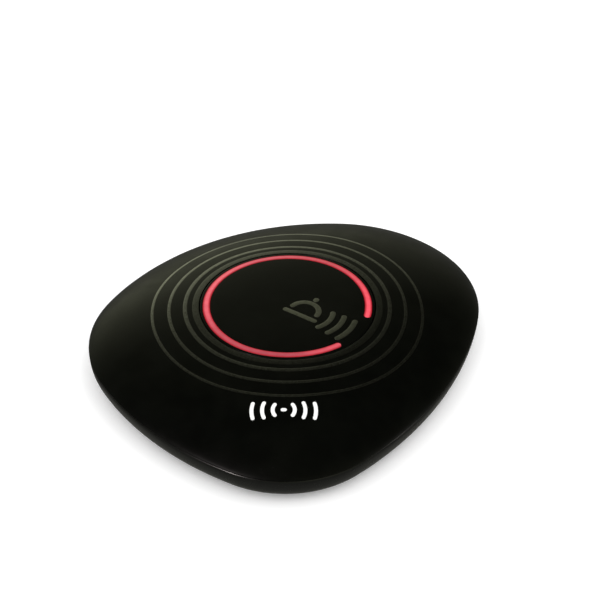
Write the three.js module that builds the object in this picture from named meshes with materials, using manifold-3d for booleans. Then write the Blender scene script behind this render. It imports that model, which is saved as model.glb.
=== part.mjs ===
// Wireless table call button: a low pebble with a rounded-triangle plan. A round press disc with a lit arc
// sits in the domed top cover, over a coin cell, a circuit board and a switch in a tapered lower case.
// Millimetres, +Z up. z = 0 is the table, and the origin is under the middle of the plan's bounding box.
import * as THREE from 'three';
import { mergeVertices } from 'three/addons/utils/BufferGeometryUtils.js';
import Module from 'manifold-3d';

const wasm = await Module();
wasm.setup();

// Plan: three corner arcs, joined by three bowed sides. Places are measured from the press axis.
const RIGHT_CORNER = { x: 12.4, y: 11.6, radius: 33 };
const LEFT_CORNER = { x: -14.3, y: -2.6, radius: 31.7 };
const FRONT_CORNER = { x: -0.5, y: -25.4, radius: 25.2 };
const BACK_SIDE_RADIUS = 60;
const LEFT_SIDE_RADIUS = 74.7;
const RIGHT_SIDE_RADIUS = 91.2;

// Shells
const FOOT_PROUD = 0.6;
const LOWER_TUCK = 4.2;
const DOME_RISE = 9.3;
const DOME_BOW = 2.98;
const DOME_SHOULDER = 0.82;
const WALL = 2;
const ROOF = 1.8;
const FLOOR = 1.6;
const PARTING_GAP = 0.3;
const GASKET_WIDTH = 0.7;
const GASKET_INSET = 0.7;
const GASKET_DEPTH = 0.9;

// Gaps between neighbours: round moving and cleared pieces, close bores, slots, and faces that rest together
const CLEARANCE = 0.3;
const CLOSE_CLEARANCE = 0.15;
const SLOT_FIT = 0.1;
const FIT = 0.05;

// Press key: disc, light ring and stem
const PRESS_RADIUS = 20.2;
const PRESS_CLEARANCE = 0.2;
const PRESS_TRAVEL = 0.6;
const KEY_PLATE = 1.55;
const LIP_BELOW_ROOF = 0.65;
const RIM_LIP = 2.2;
const RIM_LIP_HEIGHT = 0.8;
const HOLLOW_MARGIN = 1.1;
const LIGHT_FROM_RIM = 1.5;
const LIGHT_WIDTH = 1.6;
const LIGHT_GAP_ANGLE = 41;
const LIGHT_GAP_MIDDLE = -32.5;
const LIGHT_FLANGE_WIDTH = 2.7;
const LIGHT_FLANGE_HEIGHT = 0.85;
const STEM_RADIUS = 2.2;
const STEM_SOCKET_DEPTH = 1.2;
const COLLAR_WALL = 1.5;
const SEAL_THICKNESS = 0.5;
const SEAL_NOTCH = 0.3;

// Battery bay and door
const CELL_RADIUS = 12.25;
const CELL_HEIGHT = 5;
const CELL_CAP_STEP = 0.3;
const CELL_CAP_INSET = 1.1;
const CELL_CLEARANCE = 0.65;
const CONTACT_THICKNESS = 0.25;
const CONTACT_SPACE = 0.7;
const CONTACT_WIDTH = 4;
const DOOR_FLANGE = 3.75;
const DOOR_THICKNESS = 1.05;
const LUG_HEIGHT = 0.6;
const LUG_REACH = 1;
const LUG_ANGLE = 30;
const LUG_SIDE_ROOM = 2;
const LEDGE_HEIGHT = 0.7;
const DOOR_TURN = 40;
const COIN_SLOT_LENGTH = 14;
const COIN_SLOT_WIDTH = 1.8;
const COIN_SLOT_DEPTH = 0.8;
const BAY_WALL = 1.5;
const SEAL_RING_WIDTH = 1;
const SEAL_RING_HEIGHT = 0.45;

// Board and what it carries
const BOARD_THICKNESS = 1.2;
const BOARD_CLEARANCE = 1;
const BOARD_ABOVE_EDGE = 1.7;
const SWITCH_SIDE = 6.2;
const SWITCH_HEIGHT = 1.9;
const PLUNGER_RADIUS = 1.6;
const PLUNGER_PROUD = 0.7;
const LED_COUNT = 6;
const LED_LENGTH = 3;
const LED_WIDTH = 1.4;
const LED_HEIGHT = 0.8;
const SHROUD_WALL = 0.8;
const SHROUD_BASE = 0.6;
const COIL_RADIUS = 2;
const COIL_WIRE_RADIUS = 0.35;
const COIL_TURNS = 8;
const COIL_LEAD = 0.05;
const COIL_LENGTH = 16;
const COIL_BACK_FROM_FRONT = 24;

const BOARD_PARTS = [
  { name: 'controller_chip', material: 'chip', length: 7, width: 7, height: 1, x: -9.5, y: 3 },
  { name: 'radio_chip', material: 'chip', length: 5, width: 4, height: 1.2, x: 8.5, y: 6 },
  { name: 'crystal_can', material: 'steel', length: 5, width: 3.2, height: 1.3, x: 8, y: -6 },
  { name: 'storage_capacitor', material: 'chip', length: 3.5, width: 2.8, height: 1.9, x: -4, y: -10 },
];

// Fasteners and feet
const BOSS_RADIUS = 2.9;
const POST_RADIUS = 4.4;
const SCREW_RADIUS = 1;
const SCREW_HEAD_RADIUS = 2;
const SCREW_HEAD_HEIGHT = 1.5;
const SCREW_EDGE = 0.3;
const SCREW_CROSS_LENGTH = 2.4;
const SCREW_CROSS_WIDTH = 0.5;
const SCREW_CROSS_DEPTH = 0.8;
const SCREW_RECESS_HEIGHT = 3.9;
const SCREW_DIRECTIONS = [120, 225, 330];
const FOOT_RADIUS = 4;
const FOOT_EDGE = 0.3;
const FOOT_LET_IN = 0.75;
const FOOT_FROM_EDGE = 10.5;

// Fineness of the curved faces
const PLAN_STEPS = 48;
const DOME_STEPS = 8;
const DOME_STEP_CROWDING = 0.6;
const TUCK_STEPS = 4;
const ROUND_SIDES = 40;
const ROUND_END_STEPS = 4;
const COIL_STEPS_PER_TURN = 9;
const WIRE_SIDES = 6;
const SMALL_SIDES = 12;
const BEYOND = 5;

// Levels, worked out from the table up
const CASE_BOTTOM = FOOT_PROUD;
const FLOOR_TOP = CASE_BOTTOM + FLOOR;
const DOOR_LEDGE = CASE_BOTTOM + DOOR_THICKNESS + FIT;
const CHANNEL_BOTTOM = DOOR_LEDGE + LEDGE_HEIGHT;
const LUG_BOTTOM = CHANNEL_BOTTOM + FIT;
const DOOR_TOP = LUG_BOTTOM + LUG_HEIGHT;
const CHANNEL_TOP = DOOR_TOP + CLEARANCE;
const CELL_BOTTOM = DOOR_TOP + FIT;
const CELL_TOP = CELL_BOTTOM + CELL_HEIGHT;
const BOARD_BOTTOM = CELL_TOP + CONTACT_SPACE;
const BOARD_TOP = BOARD_BOTTOM + BOARD_THICKNESS;
const PLUNGER_TOP = BOARD_TOP + FIT + SWITCH_HEIGHT + PLUNGER_PROUD;
const EDGE_LEVEL = BOARD_BOTTOM - BOARD_ABOVE_EDGE;
const RIM_LEVEL = EDGE_LEVEL - PARTING_GAP;
const CROWN_LEVEL = EDGE_LEVEL + DOME_RISE;

// Radii that follow from their neighbours
const LIGHT_RADIUS = PRESS_RADIUS - LIGHT_FROM_RIM;
const HOLE_RADIUS = PRESS_RADIUS + PRESS_CLEARANCE;
const LIP_RADIUS = PRESS_RADIUS + RIM_LIP;
const COLLAR_INNER = LIP_RADIUS + CLEARANCE;
const COLLAR_OUTER = COLLAR_INNER + COLLAR_WALL;
const HOLLOW_RADIUS = PRESS_RADIUS - HOLLOW_MARGIN;
const PLUG_RADIUS = CELL_RADIUS + CLEARANCE;
const BAY_RADIUS = CELL_RADIUS + CELL_CLEARANCE;
const DOOR_RADIUS = CELL_RADIUS + DOOR_FLANGE;
const CHANNEL_RADIUS = PLUG_RADIUS + LUG_REACH + CLEARANCE / 2;
const SEAL_RING_RADIUS = (CHANNEL_RADIUS + DOOR_RADIUS) / 2;
const BAY_BASE_RADIUS = DOOR_RADIUS + CLEARANCE + BAY_WALL;

// ---------------------------------------------------------------- plan

const CORNERS = [RIGHT_CORNER, LEFT_CORNER, FRONT_CORNER];
const SIDE_RADII = [BACK_SIDE_RADIUS, LEFT_SIDE_RADIUS, RIGHT_SIDE_RADIUS];

function degrees(angle) {
  return THREE.MathUtils.degToRad(angle);
}

// The side arc that touches two corner arcs from outside, with the directions in which it meets them.
function sideBetween(first, second, radius) {
  const apart = Math.hypot(second.x - first.x, second.y - first.y);
  const toFirst = radius - first.radius;
  const toSecond = radius - second.radius;
  const along = (toFirst ** 2 - toSecond ** 2 + apart ** 2) / (2 * apart);
  const across = Math.sqrt(toFirst ** 2 - along ** 2);
  const ux = (second.x - first.x) / apart;
  const uy = (second.y - first.y) / apart;
  const x = first.x + ux * along - uy * across;
  const y = first.y + uy * along + ux * across;
  const from = Math.atan2(first.y - y, first.x - x);
  const to = Math.atan2(second.y - y, second.x - x);
  return { x, y, radius, from, to };
}

// The six arcs of the plan, each with the range of directions that it faces.
function planArcs() {
  const sides = CORNERS.map((corner, i) => sideBetween(corner, CORNERS[(i + 1) % 3], SIDE_RADII[i]));
  const corners = CORNERS.map((corner, i) => ({ ...corner, from: sides[(i + 2) % 3].to, to: sides[i].from }));
  return [...corners, ...sides];
}

const PLAN_ARCS = planArcs();

function turnFrom(start, angle) {
  const full = 2 * Math.PI;
  return (((angle - start) % full) + full) % full;
}

// A point of the plan that faces the given direction, moved inwards by inset.
function planPoint(angle, inset = 0) {
  const arc = PLAN_ARCS.find((a) => turnFrom(a.from, angle) <= turnFrom(a.from, a.to));
  const reach = arc.radius - inset;
  return new THREE.Vector2(arc.x + reach * Math.cos(angle), arc.y + reach * Math.sin(angle));
}

// The whole plan as a ring of points at one level, inset from the edge and then scaled about the press axis.
function planRing(level, inset = 0, scale = 1, extraInset = 0) {
  return Array.from({ length: PLAN_STEPS }, (_, i) => {
    const angle = (2 * Math.PI * i) / PLAN_STEPS;
    const point = planPoint(angle, inset).multiplyScalar(scale);
    return new THREE.Vector3(
      point.x - extraInset * Math.cos(angle),
      point.y - extraInset * Math.sin(angle),
      level,
    );
  });
}

// How high a dome stands above the parting plane, at a scale of the plan.
function domeHeight(scale, rise) {
  return rise * (1 - scale ** DOME_BOW) ** DOME_SHOULDER;
}

// How far a dome has drawn in at a height above the parting plane, as a scale of the plan.
function domeScale(height, rise) {
  return (1 - (height / rise) ** (1 / DOME_SHOULDER)) ** (1 / DOME_BOW);
}

// Lowest level of a dome at a distance from the press axis, which is on the plan's narrowest side.
function lowestLevel(distance, inset, rise) {
  const reach = Math.min(...planRing(0, inset).map((point) => point.length()));
  return EDGE_LEVEL + domeHeight(distance / reach, rise);
}

// Levels, worked out from the domes down
const KEY_LEVEL = lowestLevel(PRESS_RADIUS, 0, DOME_RISE) - KEY_PLATE;
const LIP_BOTTOM = lowestLevel(COLLAR_OUTER, WALL, DOME_RISE - ROOF) - LIP_BELOW_ROOF;
const LIP_TOP = LIP_BOTTOM + RIM_LIP_HEIGHT;
const SEAL_TOP = LIP_BOTTOM - FIT;
const SEAL_BOTTOM = SEAL_TOP - SEAL_THICKNESS;
const SHROUD_TOP = LIP_BOTTOM - PRESS_TRAVEL - CLEARANCE;

// ---------------------------------------------------------------- solids

// A three.js geometry as a manifold solid, with its faces turned outwards.
function solid(geometry) {
  geometry.deleteAttribute('normal');
  geometry.deleteAttribute('uv');
  const merged = mergeVertices(geometry, 1e-5);
  const positions = merged.getAttribute('position').array;
  const triangles = Array.from(merged.index.array);
  const corner = (i) => new THREE.Vector3().fromArray(positions, 3 * triangles[i]);
  let volume = 0;
  for (let i = 0; i < triangles.length; i += 3) {
    volume += corner(i).dot(corner(i + 1).cross(corner(i + 2)));
  }
  if (volume < 0) {
    for (let i = 0; i < triangles.length; i += 3) {
      [triangles[i], triangles[i + 1]] = [triangles[i + 1], triangles[i]];
    }
  }
  return new wasm.Manifold(new wasm.Mesh({
    numProp: 3,
    vertProperties: Float32Array.from(positions),
    triVerts: Uint32Array.from(triangles),
  }));
}

function geometryOf(body) {
  const mesh = body.getMesh();
  const geometry = new THREE.BufferGeometry();
  geometry.setAttribute('position', new THREE.Float32BufferAttribute(mesh.vertProperties, 3));
  geometry.setIndex(Array.from(mesh.triVerts));
  geometry.computeVertexNormals();
  return geometry;
}

// Skin through rings with equal numbers of points, closed by a fan at each end.
function loft(rings, lowCentre, highCentre) {
  const count = rings[0].length;
  const positions = rings.flat().flatMap((p) => [p.x, p.y, p.z]);
  const low = positions.length / 3;
  positions.push(...lowCentre, ...highCentre);
  const index = [];
  for (let ring = 0; ring + 1 < rings.length; ring += 1) {
    for (let i = 0; i < count; i += 1) {
      const next = (i + 1) % count;
      const a = ring * count + i;
      const b = ring * count + next;
      index.push(a, b, b + count, a, b + count, a + count);
    }
  }
  const last = (rings.length - 1) * count;
  for (let i = 0; i < count; i += 1) {
    const next = (i + 1) % count;
    index.push(low, next, i);
    index.push(low + 1, last + i, last + next);
  }
  const geometry = new THREE.BufferGeometry();
  geometry.setAttribute('position', new THREE.Float32BufferAttribute(positions, 3));
  geometry.setIndex(index);
  return solid(geometry);
}

function cylinder(radius, low, high, x = 0, y = 0, sides = ROUND_SIDES) {
  const geometry = new THREE.CylinderGeometry(radius, radius, high - low, sides);
  geometry.rotateX(Math.PI / 2);
  geometry.translate(x, y, (low + high) / 2);
  return solid(geometry);
}

function ring(inner, outer, low, high) {
  return cylinder(outer, low, high).subtract(cylinder(inner, low - BEYOND, high + BEYOND));
}

function block(length, width, low, high, x = 0, y = 0, turn = 0) {
  const geometry = new THREE.BoxGeometry(length, width, high - low);
  geometry.rotateZ(turn);
  geometry.translate(x, y, (low + high) / 2);
  return solid(geometry);
}

// A profile of [radius, level] pairs turned about a vertical axis.
function turned(profile, x = 0, y = 0, sides = ROUND_SIDES) {
  const geometry = new THREE.LatheGeometry(profile.map(([r, z]) => new THREE.Vector2(r, z)), sides);
  geometry.rotateX(Math.PI / 2);
  geometry.translate(x, y, 0);
  return solid(geometry);
}

// Points along an arc, both ends included.
function arcPoints(x, y, radius, from, to, steps) {
  return Array.from({ length: steps + 1 }, (_, i) => {
    const angle = from + ((to - from) * i) / steps;
    return new THREE.Vector2(x + radius * Math.cos(angle), y + radius * Math.sin(angle));
  });
}

// The half circle that closes a ring's end, between its two walls.
function roundEnd(inner, outer, angle, start) {
  const middle = (inner + outer) / 2;
  const x = middle * Math.cos(angle);
  const y = middle * Math.sin(angle);
  return arcPoints(x, y, (outer - inner) / 2, start, start + Math.PI, ROUND_END_STEPS).slice(1, -1);
}

// Part of a ring between two angles, with square or round ends.
function sector(inner, outer, from, to, low, high, round = false) {
  const steps = Math.ceil(((to - from) / (2 * Math.PI)) * ROUND_SIDES);
  const points = [
    ...arcPoints(0, 0, outer, from, to, steps),
    ...(round ? roundEnd(inner, outer, to, to) : []),
    ...arcPoints(0, 0, inner, to, from, steps),
    ...(round ? roundEnd(inner, outer, from, from + Math.PI) : []),
  ];
  const geometry = new THREE.ExtrudeGeometry(new THREE.Shape(points), {
    depth: high - low,
    bevelEnabled: false,
  });
  geometry.translate(0, 0, low);
  return solid(geometry);
}

// ---------------------------------------------------------------- shells

function dome(inset, rise) {
  const rings = Array.from({ length: DOME_STEPS }, (_, i) => {
    const scale = Math.cos((i / DOME_STEPS) * (Math.PI / 2)) ** DOME_STEP_CROWDING;
    return planRing(EDGE_LEVEL + domeHeight(scale, rise), inset, scale);
  });
  return loft(rings, [0, 0, EDGE_LEVEL], [0, 0, EDGE_LEVEL + rise]);
}

// The lower case's outer or inner form: upright at its rim, and rounded in under itself towards the floor.
function bowl(inset, floorLevel, rimLevel) {
  const depth = EDGE_LEVEL - floorLevel;
  const rings = Array.from({ length: TUCK_STEPS + 1 }, (_, i) => {
    const down = Math.cos((i / TUCK_STEPS) * (Math.PI / 2));
    const tuck = LOWER_TUCK * (1 - Math.sqrt(1 - down ** 2));
    return planRing(EDGE_LEVEL - depth * down, inset + tuck);
  });
  const form = loft(rings, [0, 0, floorLevel], [0, 0, EDGE_LEVEL]);
  return form.intersect(cylinder(2 * BACK_SIDE_RADIUS, floorLevel - BEYOND, rimLevel));
}

// Screws stand between the light shroud and the case wall, one facing each side of the plan.
function screwPlaces() {
  return SCREW_DIRECTIONS.map((direction) => {
    const angle = degrees(direction);
    const wallScale = domeScale(BOARD_TOP - EDGE_LEVEL, DOME_RISE - ROOF);
    const wall = planPoint(angle, WALL).multiplyScalar(wallScale).length();
    const distance = (COLLAR_OUTER + wall) / 2;
    return { x: distance * Math.cos(angle), y: distance * Math.sin(angle), angle };
  });
}

function footPlaces() {
  return CORNERS.map((corner) => {
    const out = Math.hypot(corner.x, corner.y);
    const distance = out + corner.radius - FOOT_FROM_EDGE;
    return { x: (corner.x / out) * distance, y: (corner.y / out) * distance };
  });
}

function topCover() {
  const outside = dome(0, DOME_RISE);
  let cover = outside.subtract(dome(WALL, DOME_RISE - ROOF));
  cover = cover.add(ring(COLLAR_INNER, COLLAR_OUTER, LIP_BOTTOM, CROWN_LEVEL));
  for (const { x, y } of screwPlaces()) {
    cover = cover.add(cylinder(BOSS_RADIUS, BOARD_BOTTOM, CROWN_LEVEL, x, y, SMALL_SIDES));
  }
  cover = cover.intersect(outside);
  cover = cover.subtract(cylinder(HOLE_RADIUS, LIP_TOP, CROWN_LEVEL + BEYOND));
  cover = cover.subtract(cylinder(COLLAR_INNER, 0, LIP_TOP + CLEARANCE));
  for (const { x, y } of screwPlaces()) {
    const bore = SCREW_RADIUS + CLOSE_CLEARANCE;
    cover = cover.subtract(cylinder(bore, 0, screwTip() + CLEARANCE, x, y, SMALL_SIDES));
  }
  return cover;
}

// Highest level that a screw may reach without showing through the cover.
function screwTip() {
  const places = screwPlaces().map(({ x, y, angle }) => {
    const scale = Math.hypot(x, y) / planPoint(angle, WALL).length();
    return EDGE_LEVEL + domeHeight(scale, DOME_RISE - ROOF);
  });
  return Math.min(...places) - CLEARANCE;
}

function gasketBand(extra) {
  const outer = GASKET_INSET - extra;
  const inner = GASKET_INSET + GASKET_WIDTH + extra;
  const low = RIM_LEVEL - GASKET_DEPTH - extra;
  const high = EDGE_LEVEL - FIT;
  const outside = loft([planRing(low, outer), planRing(high, outer)], [0, 0, low], [0, 0, high]);
  const inside = loft(
    [planRing(low - BEYOND, inner), planRing(high + BEYOND, inner)],
    [0, 0, low - BEYOND],
    [0, 0, high + BEYOND],
  );
  return outside.subtract(inside);
}

function lowerCase() {
  let shell = bowl(0, CASE_BOTTOM, RIM_LEVEL).subtract(bowl(WALL, FLOOR_TOP, EDGE_LEVEL + BEYOND));
  shell = shell.add(cylinder(BAY_BASE_RADIUS, CASE_BOTTOM, CHANNEL_TOP + BAY_WALL / 2));
  shell = shell.add(cylinder(BAY_RADIUS + BAY_WALL, CASE_BOTTOM, BOARD_BOTTOM - CONTACT_SPACE / 2));
  for (const { x, y } of screwPlaces()) {
    shell = shell.add(cylinder(POST_RADIUS, CASE_BOTTOM, BOARD_BOTTOM - FIT, x, y, SMALL_SIDES));
  }
  shell = shell.subtract(gasketBand(FIT));
  shell = shell.subtract(cylinder(DOOR_RADIUS + CLEARANCE, 0, DOOR_LEDGE));
  shell = shell.subtract(sealRing(FIT));
  shell = shell.subtract(cylinder(PLUG_RADIUS + CLEARANCE / 2, 0, CHANNEL_BOTTOM + FIT));
  shell = shell.subtract(cylinder(CHANNEL_RADIUS, CHANNEL_BOTTOM, CHANNEL_TOP));
  shell = shell.subtract(cylinder(BAY_RADIUS, CHANNEL_BOTTOM, BOARD_TOP));
  for (const middle of lugAngles()) {
    const half = degrees(LUG_ANGLE / 2 + LUG_SIDE_ROOM);
    const open = middle + degrees(DOOR_TURN);
    const root = PLUG_RADIUS - LUG_REACH;
    shell = shell.subtract(sector(root, CHANNEL_RADIUS, open - half, open + half, 0, CHANNEL_TOP));
  }
  for (const { x, y } of footPlaces()) {
    const pocketTop = CASE_BOTTOM + FOOT_LET_IN + FIT;
    shell = shell.subtract(cylinder(FOOT_RADIUS + CLEARANCE, 0, pocketTop, x, y, SMALL_SIDES));
  }
  for (const { x, y } of screwPlaces()) {
    const recess = SCREW_HEAD_RADIUS + CLEARANCE;
    shell = shell.subtract(cylinder(recess, 0, CASE_BOTTOM + SCREW_RECESS_HEIGHT, x, y, SMALL_SIDES));
    shell = shell.subtract(cylinder(SCREW_RADIUS + CLEARANCE, 0, BOARD_TOP, x, y, SMALL_SIDES));
  }
  return shell;
}

// ---------------------------------------------------------------- press key

function lightArc(extra, low, high) {
  const from = degrees(LIGHT_GAP_MIDDLE + LIGHT_GAP_ANGLE / 2);
  const to = degrees(LIGHT_GAP_MIDDLE - LIGHT_GAP_ANGLE / 2 + 360);
  const half = LIGHT_WIDTH / 2 + extra;
  return sector(LIGHT_RADIUS - half, LIGHT_RADIUS + half, from, to, low, high, true);
}

function pressDisc() {
  const socketTop = KEY_LEVEL + STEM_SOCKET_DEPTH + FIT;
  const socket = cylinder(STEM_RADIUS + SLOT_FIT, KEY_LEVEL - FIT, socketTop, 0, 0, SMALL_SIDES);
  const plate = cylinder(PRESS_RADIUS, LIP_TOP - FIT, CROWN_LEVEL + BEYOND).intersect(dome(0, DOME_RISE));
  return plate
    .add(cylinder(LIP_RADIUS, LIP_BOTTOM, LIP_TOP))
    .subtract(cylinder(HOLLOW_RADIUS, LIP_BOTTOM - BEYOND, KEY_LEVEL))
    .subtract(socket)
    .subtract(lightArc(SLOT_FIT, KEY_LEVEL - SLOT_FIT - FIT, CROWN_LEVEL + BEYOND));
}

function lightRing() {
  const outer = HOLLOW_RADIUS - SLOT_FIT;
  const top = KEY_LEVEL - FIT;
  const flange = ring(outer - LIGHT_FLANGE_WIDTH, outer, top - LIGHT_FLANGE_HEIGHT, top);
  return flange.add(lightArc(0, top - FIT, CROWN_LEVEL + BEYOND).intersect(dome(0, DOME_RISE)));
}

// Pin from the socket under the disc down to the switch.
function pressStem() {
  return cylinder(STEM_RADIUS, PLUNGER_TOP + FIT, KEY_LEVEL + STEM_SOCKET_DEPTH, 0, 0, SMALL_SIDES);
}

// Flat web from the disc's lip to the collar, thinned at its hinge.
function pressSeal() {
  const hinge = COLLAR_INNER - PRESS_CLEARANCE / 2;
  return turned([
    [PRESS_RADIUS, SEAL_BOTTOM],
    [COLLAR_OUTER, SEAL_BOTTOM],
    [COLLAR_OUTER, SEAL_TOP],
    [hinge + SEAL_NOTCH, SEAL_TOP],
    [hinge, SEAL_TOP - SEAL_NOTCH],
    [hinge - SEAL_NOTCH, SEAL_TOP],
    [PRESS_RADIUS, SEAL_TOP],
    [PRESS_RADIUS, SEAL_BOTTOM],
  ]);
}

// ---------------------------------------------------------------- board

function circuitBoard() {
  const scale = domeScale(BOARD_TOP - EDGE_LEVEL, DOME_RISE - ROOF);
  const rings = [BOARD_BOTTOM, BOARD_TOP].map((level) => planRing(level, WALL, scale, BOARD_CLEARANCE));
  let board = loft(rings, [0, 0, BOARD_BOTTOM], [0, 0, BOARD_TOP]);
  for (const { x, y, angle } of screwPlaces()) {
    const notch = BOSS_RADIUS + CLEARANCE;
    const out = POST_RADIUS + BEYOND;
    const middleX = x + (out / 2) * Math.cos(angle);
    const middleY = y + (out / 2) * Math.sin(angle);
    board = board
      .subtract(cylinder(notch, 0, CROWN_LEVEL, x, y, SMALL_SIDES))
      .subtract(block(out, 2 * notch, 0, CROWN_LEVEL, middleX, middleY, angle));
  }
  return board;
}

function ledPlaces() {
  return Array.from({ length: LED_COUNT }, (_, i) => {
    const angle = degrees(LIGHT_GAP_MIDDLE + ((i + 0.5) * 360) / LED_COUNT);
    const x = LIGHT_RADIUS * Math.cos(angle);
    const y = LIGHT_RADIUS * Math.sin(angle);
    return { x, y, turn: angle + Math.PI / 2 };
  });
}

function led({ x, y, turn }) {
  return block(LED_LENGTH, LED_WIDTH, BOARD_TOP + FIT, BOARD_TOP + FIT + LED_HEIGHT, x, y, turn);
}

// White trough round the lights, with a rim that clamps the press seal against the cover's collar.
function lightShroud() {
  const low = BOARD_TOP + FIT;
  const inner = LIGHT_RADIUS - LED_WIDTH - SHROUD_WALL;
  const outer = LIGHT_RADIUS + LED_WIDTH;
  let shroud = ring(inner, COLLAR_OUTER, low, low + SHROUD_BASE)
    .add(ring(inner, inner + SHROUD_WALL, low, SHROUD_TOP))
    .add(ring(outer, outer + SHROUD_WALL, low, SHROUD_TOP))
    .add(ring(COLLAR_INNER, COLLAR_OUTER, low, SEAL_BOTTOM - FIT));
  for (const { x, y, turn } of ledPlaces()) {
    const length = LED_LENGTH + CLEARANCE;
    const width = LED_WIDTH + CLEARANCE;
    shroud = shroud.subtract(block(length, width, 0, low + SHROUD_BASE + FIT, x, y, turn));
  }
  return shroud;
}

function switchBody() {
  const low = BOARD_TOP + FIT;
  const bore = cylinder(
    PLUNGER_RADIUS + CLOSE_CLEARANCE,
    low + SWITCH_HEIGHT - 2 * PRESS_TRAVEL - CLOSE_CLEARANCE,
    low + SWITCH_HEIGHT + BEYOND,
    0,
    0,
    SMALL_SIDES,
  );
  return block(SWITCH_SIDE, SWITCH_SIDE, low, low + SWITCH_HEIGHT).subtract(bore);
}

function switchPlunger() {
  const bottom = BOARD_TOP + FIT + SWITCH_HEIGHT - PRESS_TRAVEL;
  return cylinder(PLUNGER_RADIUS, bottom, PLUNGER_TOP, 0, 0, SMALL_SIDES);
}

function boardPart({ length, width, height, x, y }) {
  return block(length, width, BOARD_TOP + FIT, BOARD_TOP + FIT + height, x, y);
}

// Copper wire wound along X under the front of the board, with one end brought up to the board.
class CoilPath extends THREE.Curve {
  getPoint(t, target = new THREE.Vector3()) {
    const turn = Math.max(0, (t - COIL_LEAD) / (1 - COIL_LEAD));
    const angle = 2 * Math.PI * COIL_TURNS * turn;
    const rise = Math.max(0, 1 - t / COIL_LEAD) * (BOARD_BOTTOM - FIT - coilLevel() - COIL_RADIUS);
    return target.set(
      COIL_LENGTH * (turn - 0.5),
      frontReach() + COIL_BACK_FROM_FRONT + COIL_RADIUS * Math.sin(angle),
      coilLevel() + COIL_RADIUS * Math.cos(angle) + rise,
    );
  }
}

function frontReach() {
  return planPoint(-Math.PI / 2).y;
}

function coilLevel() {
  return (FLOOR_TOP + BOARD_BOTTOM) / 2;
}

function antennaCoil() {
  const wire = new THREE.Shape();
  wire.absarc(0, 0, COIL_WIRE_RADIUS, 0, 2 * Math.PI, false);
  return solid(new THREE.ExtrudeGeometry(wire, {
    steps: COIL_STEPS_PER_TURN * COIL_TURNS,
    extrudePath: new CoilPath(),
    curveSegments: WIRE_SIDES / 2,
  }));
}

// ---------------------------------------------------------------- battery bay

function coinCell() {
  return turned([
    [0, CELL_BOTTOM],
    [CELL_RADIUS - CELL_CAP_STEP, CELL_BOTTOM],
    [CELL_RADIUS, CELL_BOTTOM + CELL_CAP_STEP],
    [CELL_RADIUS, CELL_TOP - CELL_CAP_STEP],
    [CELL_RADIUS - CELL_CAP_INSET, CELL_TOP - CELL_CAP_STEP],
    [CELL_RADIUS - CELL_CAP_INSET - CELL_CAP_STEP, CELL_TOP],
    [0, CELL_TOP],
  ]);
}

// Bowed leaf between the board and the cell's inner face.
function cellContactMinus() {
  const reach = CELL_RADIUS - CONTACT_WIDTH;
  const pad = CONTACT_WIDTH / 2;
  const board = BOARD_BOTTOM - FIT;
  const cell = CELL_TOP + FIT;
  const leaf = new THREE.Shape();
  leaf.moveTo(-reach, board);
  leaf.lineTo(-reach, board - CONTACT_THICKNESS);
  leaf.lineTo(-reach + pad, board - CONTACT_THICKNESS);
  leaf.lineTo(-pad, cell);
  leaf.lineTo(pad, cell);
  leaf.lineTo(reach - pad, board - CONTACT_THICKNESS);
  leaf.lineTo(reach, board - CONTACT_THICKNESS);
  leaf.lineTo(reach, board);
  leaf.lineTo(reach - pad, board);
  leaf.lineTo(pad, cell + CONTACT_THICKNESS);
  leaf.lineTo(-pad, cell + CONTACT_THICKNESS);
  leaf.lineTo(-reach + pad, board);
  leaf.closePath();
  const geometry = new THREE.ExtrudeGeometry(leaf, { depth: CONTACT_WIDTH, bevelEnabled: false });
  geometry.rotateX(Math.PI / 2);
  geometry.translate(0, CONTACT_WIDTH / 2, 0);
  return solid(geometry);
}

// Upright strip that bears on the cell's rim.
function cellContactPlus() {
  const inner = CELL_RADIUS + SLOT_FIT;
  const half = CONTACT_WIDTH / 2 / CELL_RADIUS;
  return sector(inner, inner + CONTACT_THICKNESS, -half, half, CELL_BOTTOM + CLEARANCE, BOARD_BOTTOM - FIT);
}

function lugAngles() {
  return [0, 1, 2].map((i) => (i * 2 * Math.PI) / 3);
}

function batteryDoor() {
  let door = cylinder(DOOR_RADIUS, CASE_BOTTOM, CASE_BOTTOM + DOOR_THICKNESS)
    .add(cylinder(PLUG_RADIUS, CASE_BOTTOM, DOOR_TOP));
  for (const middle of lugAngles()) {
    const from = middle - degrees(LUG_ANGLE / 2);
    const to = middle + degrees(LUG_ANGLE / 2);
    const root = PLUG_RADIUS - LUG_REACH;
    door = door.add(sector(root, PLUG_RADIUS + LUG_REACH, from, to, LUG_BOTTOM, DOOR_TOP));
  }
  return door.subtract(block(COIN_SLOT_LENGTH, COIN_SLOT_WIDTH, 0, CASE_BOTTOM + COIN_SLOT_DEPTH));
}

function sealRing(extra) {
  const half = SEAL_RING_WIDTH / 2 + extra;
  return ring(
    SEAL_RING_RADIUS - half,
    SEAL_RING_RADIUS + half,
    DOOR_LEDGE - extra,
    DOOR_LEDGE + SEAL_RING_HEIGHT + extra,
  );
}

// ---------------------------------------------------------------- fasteners and feet

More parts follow.
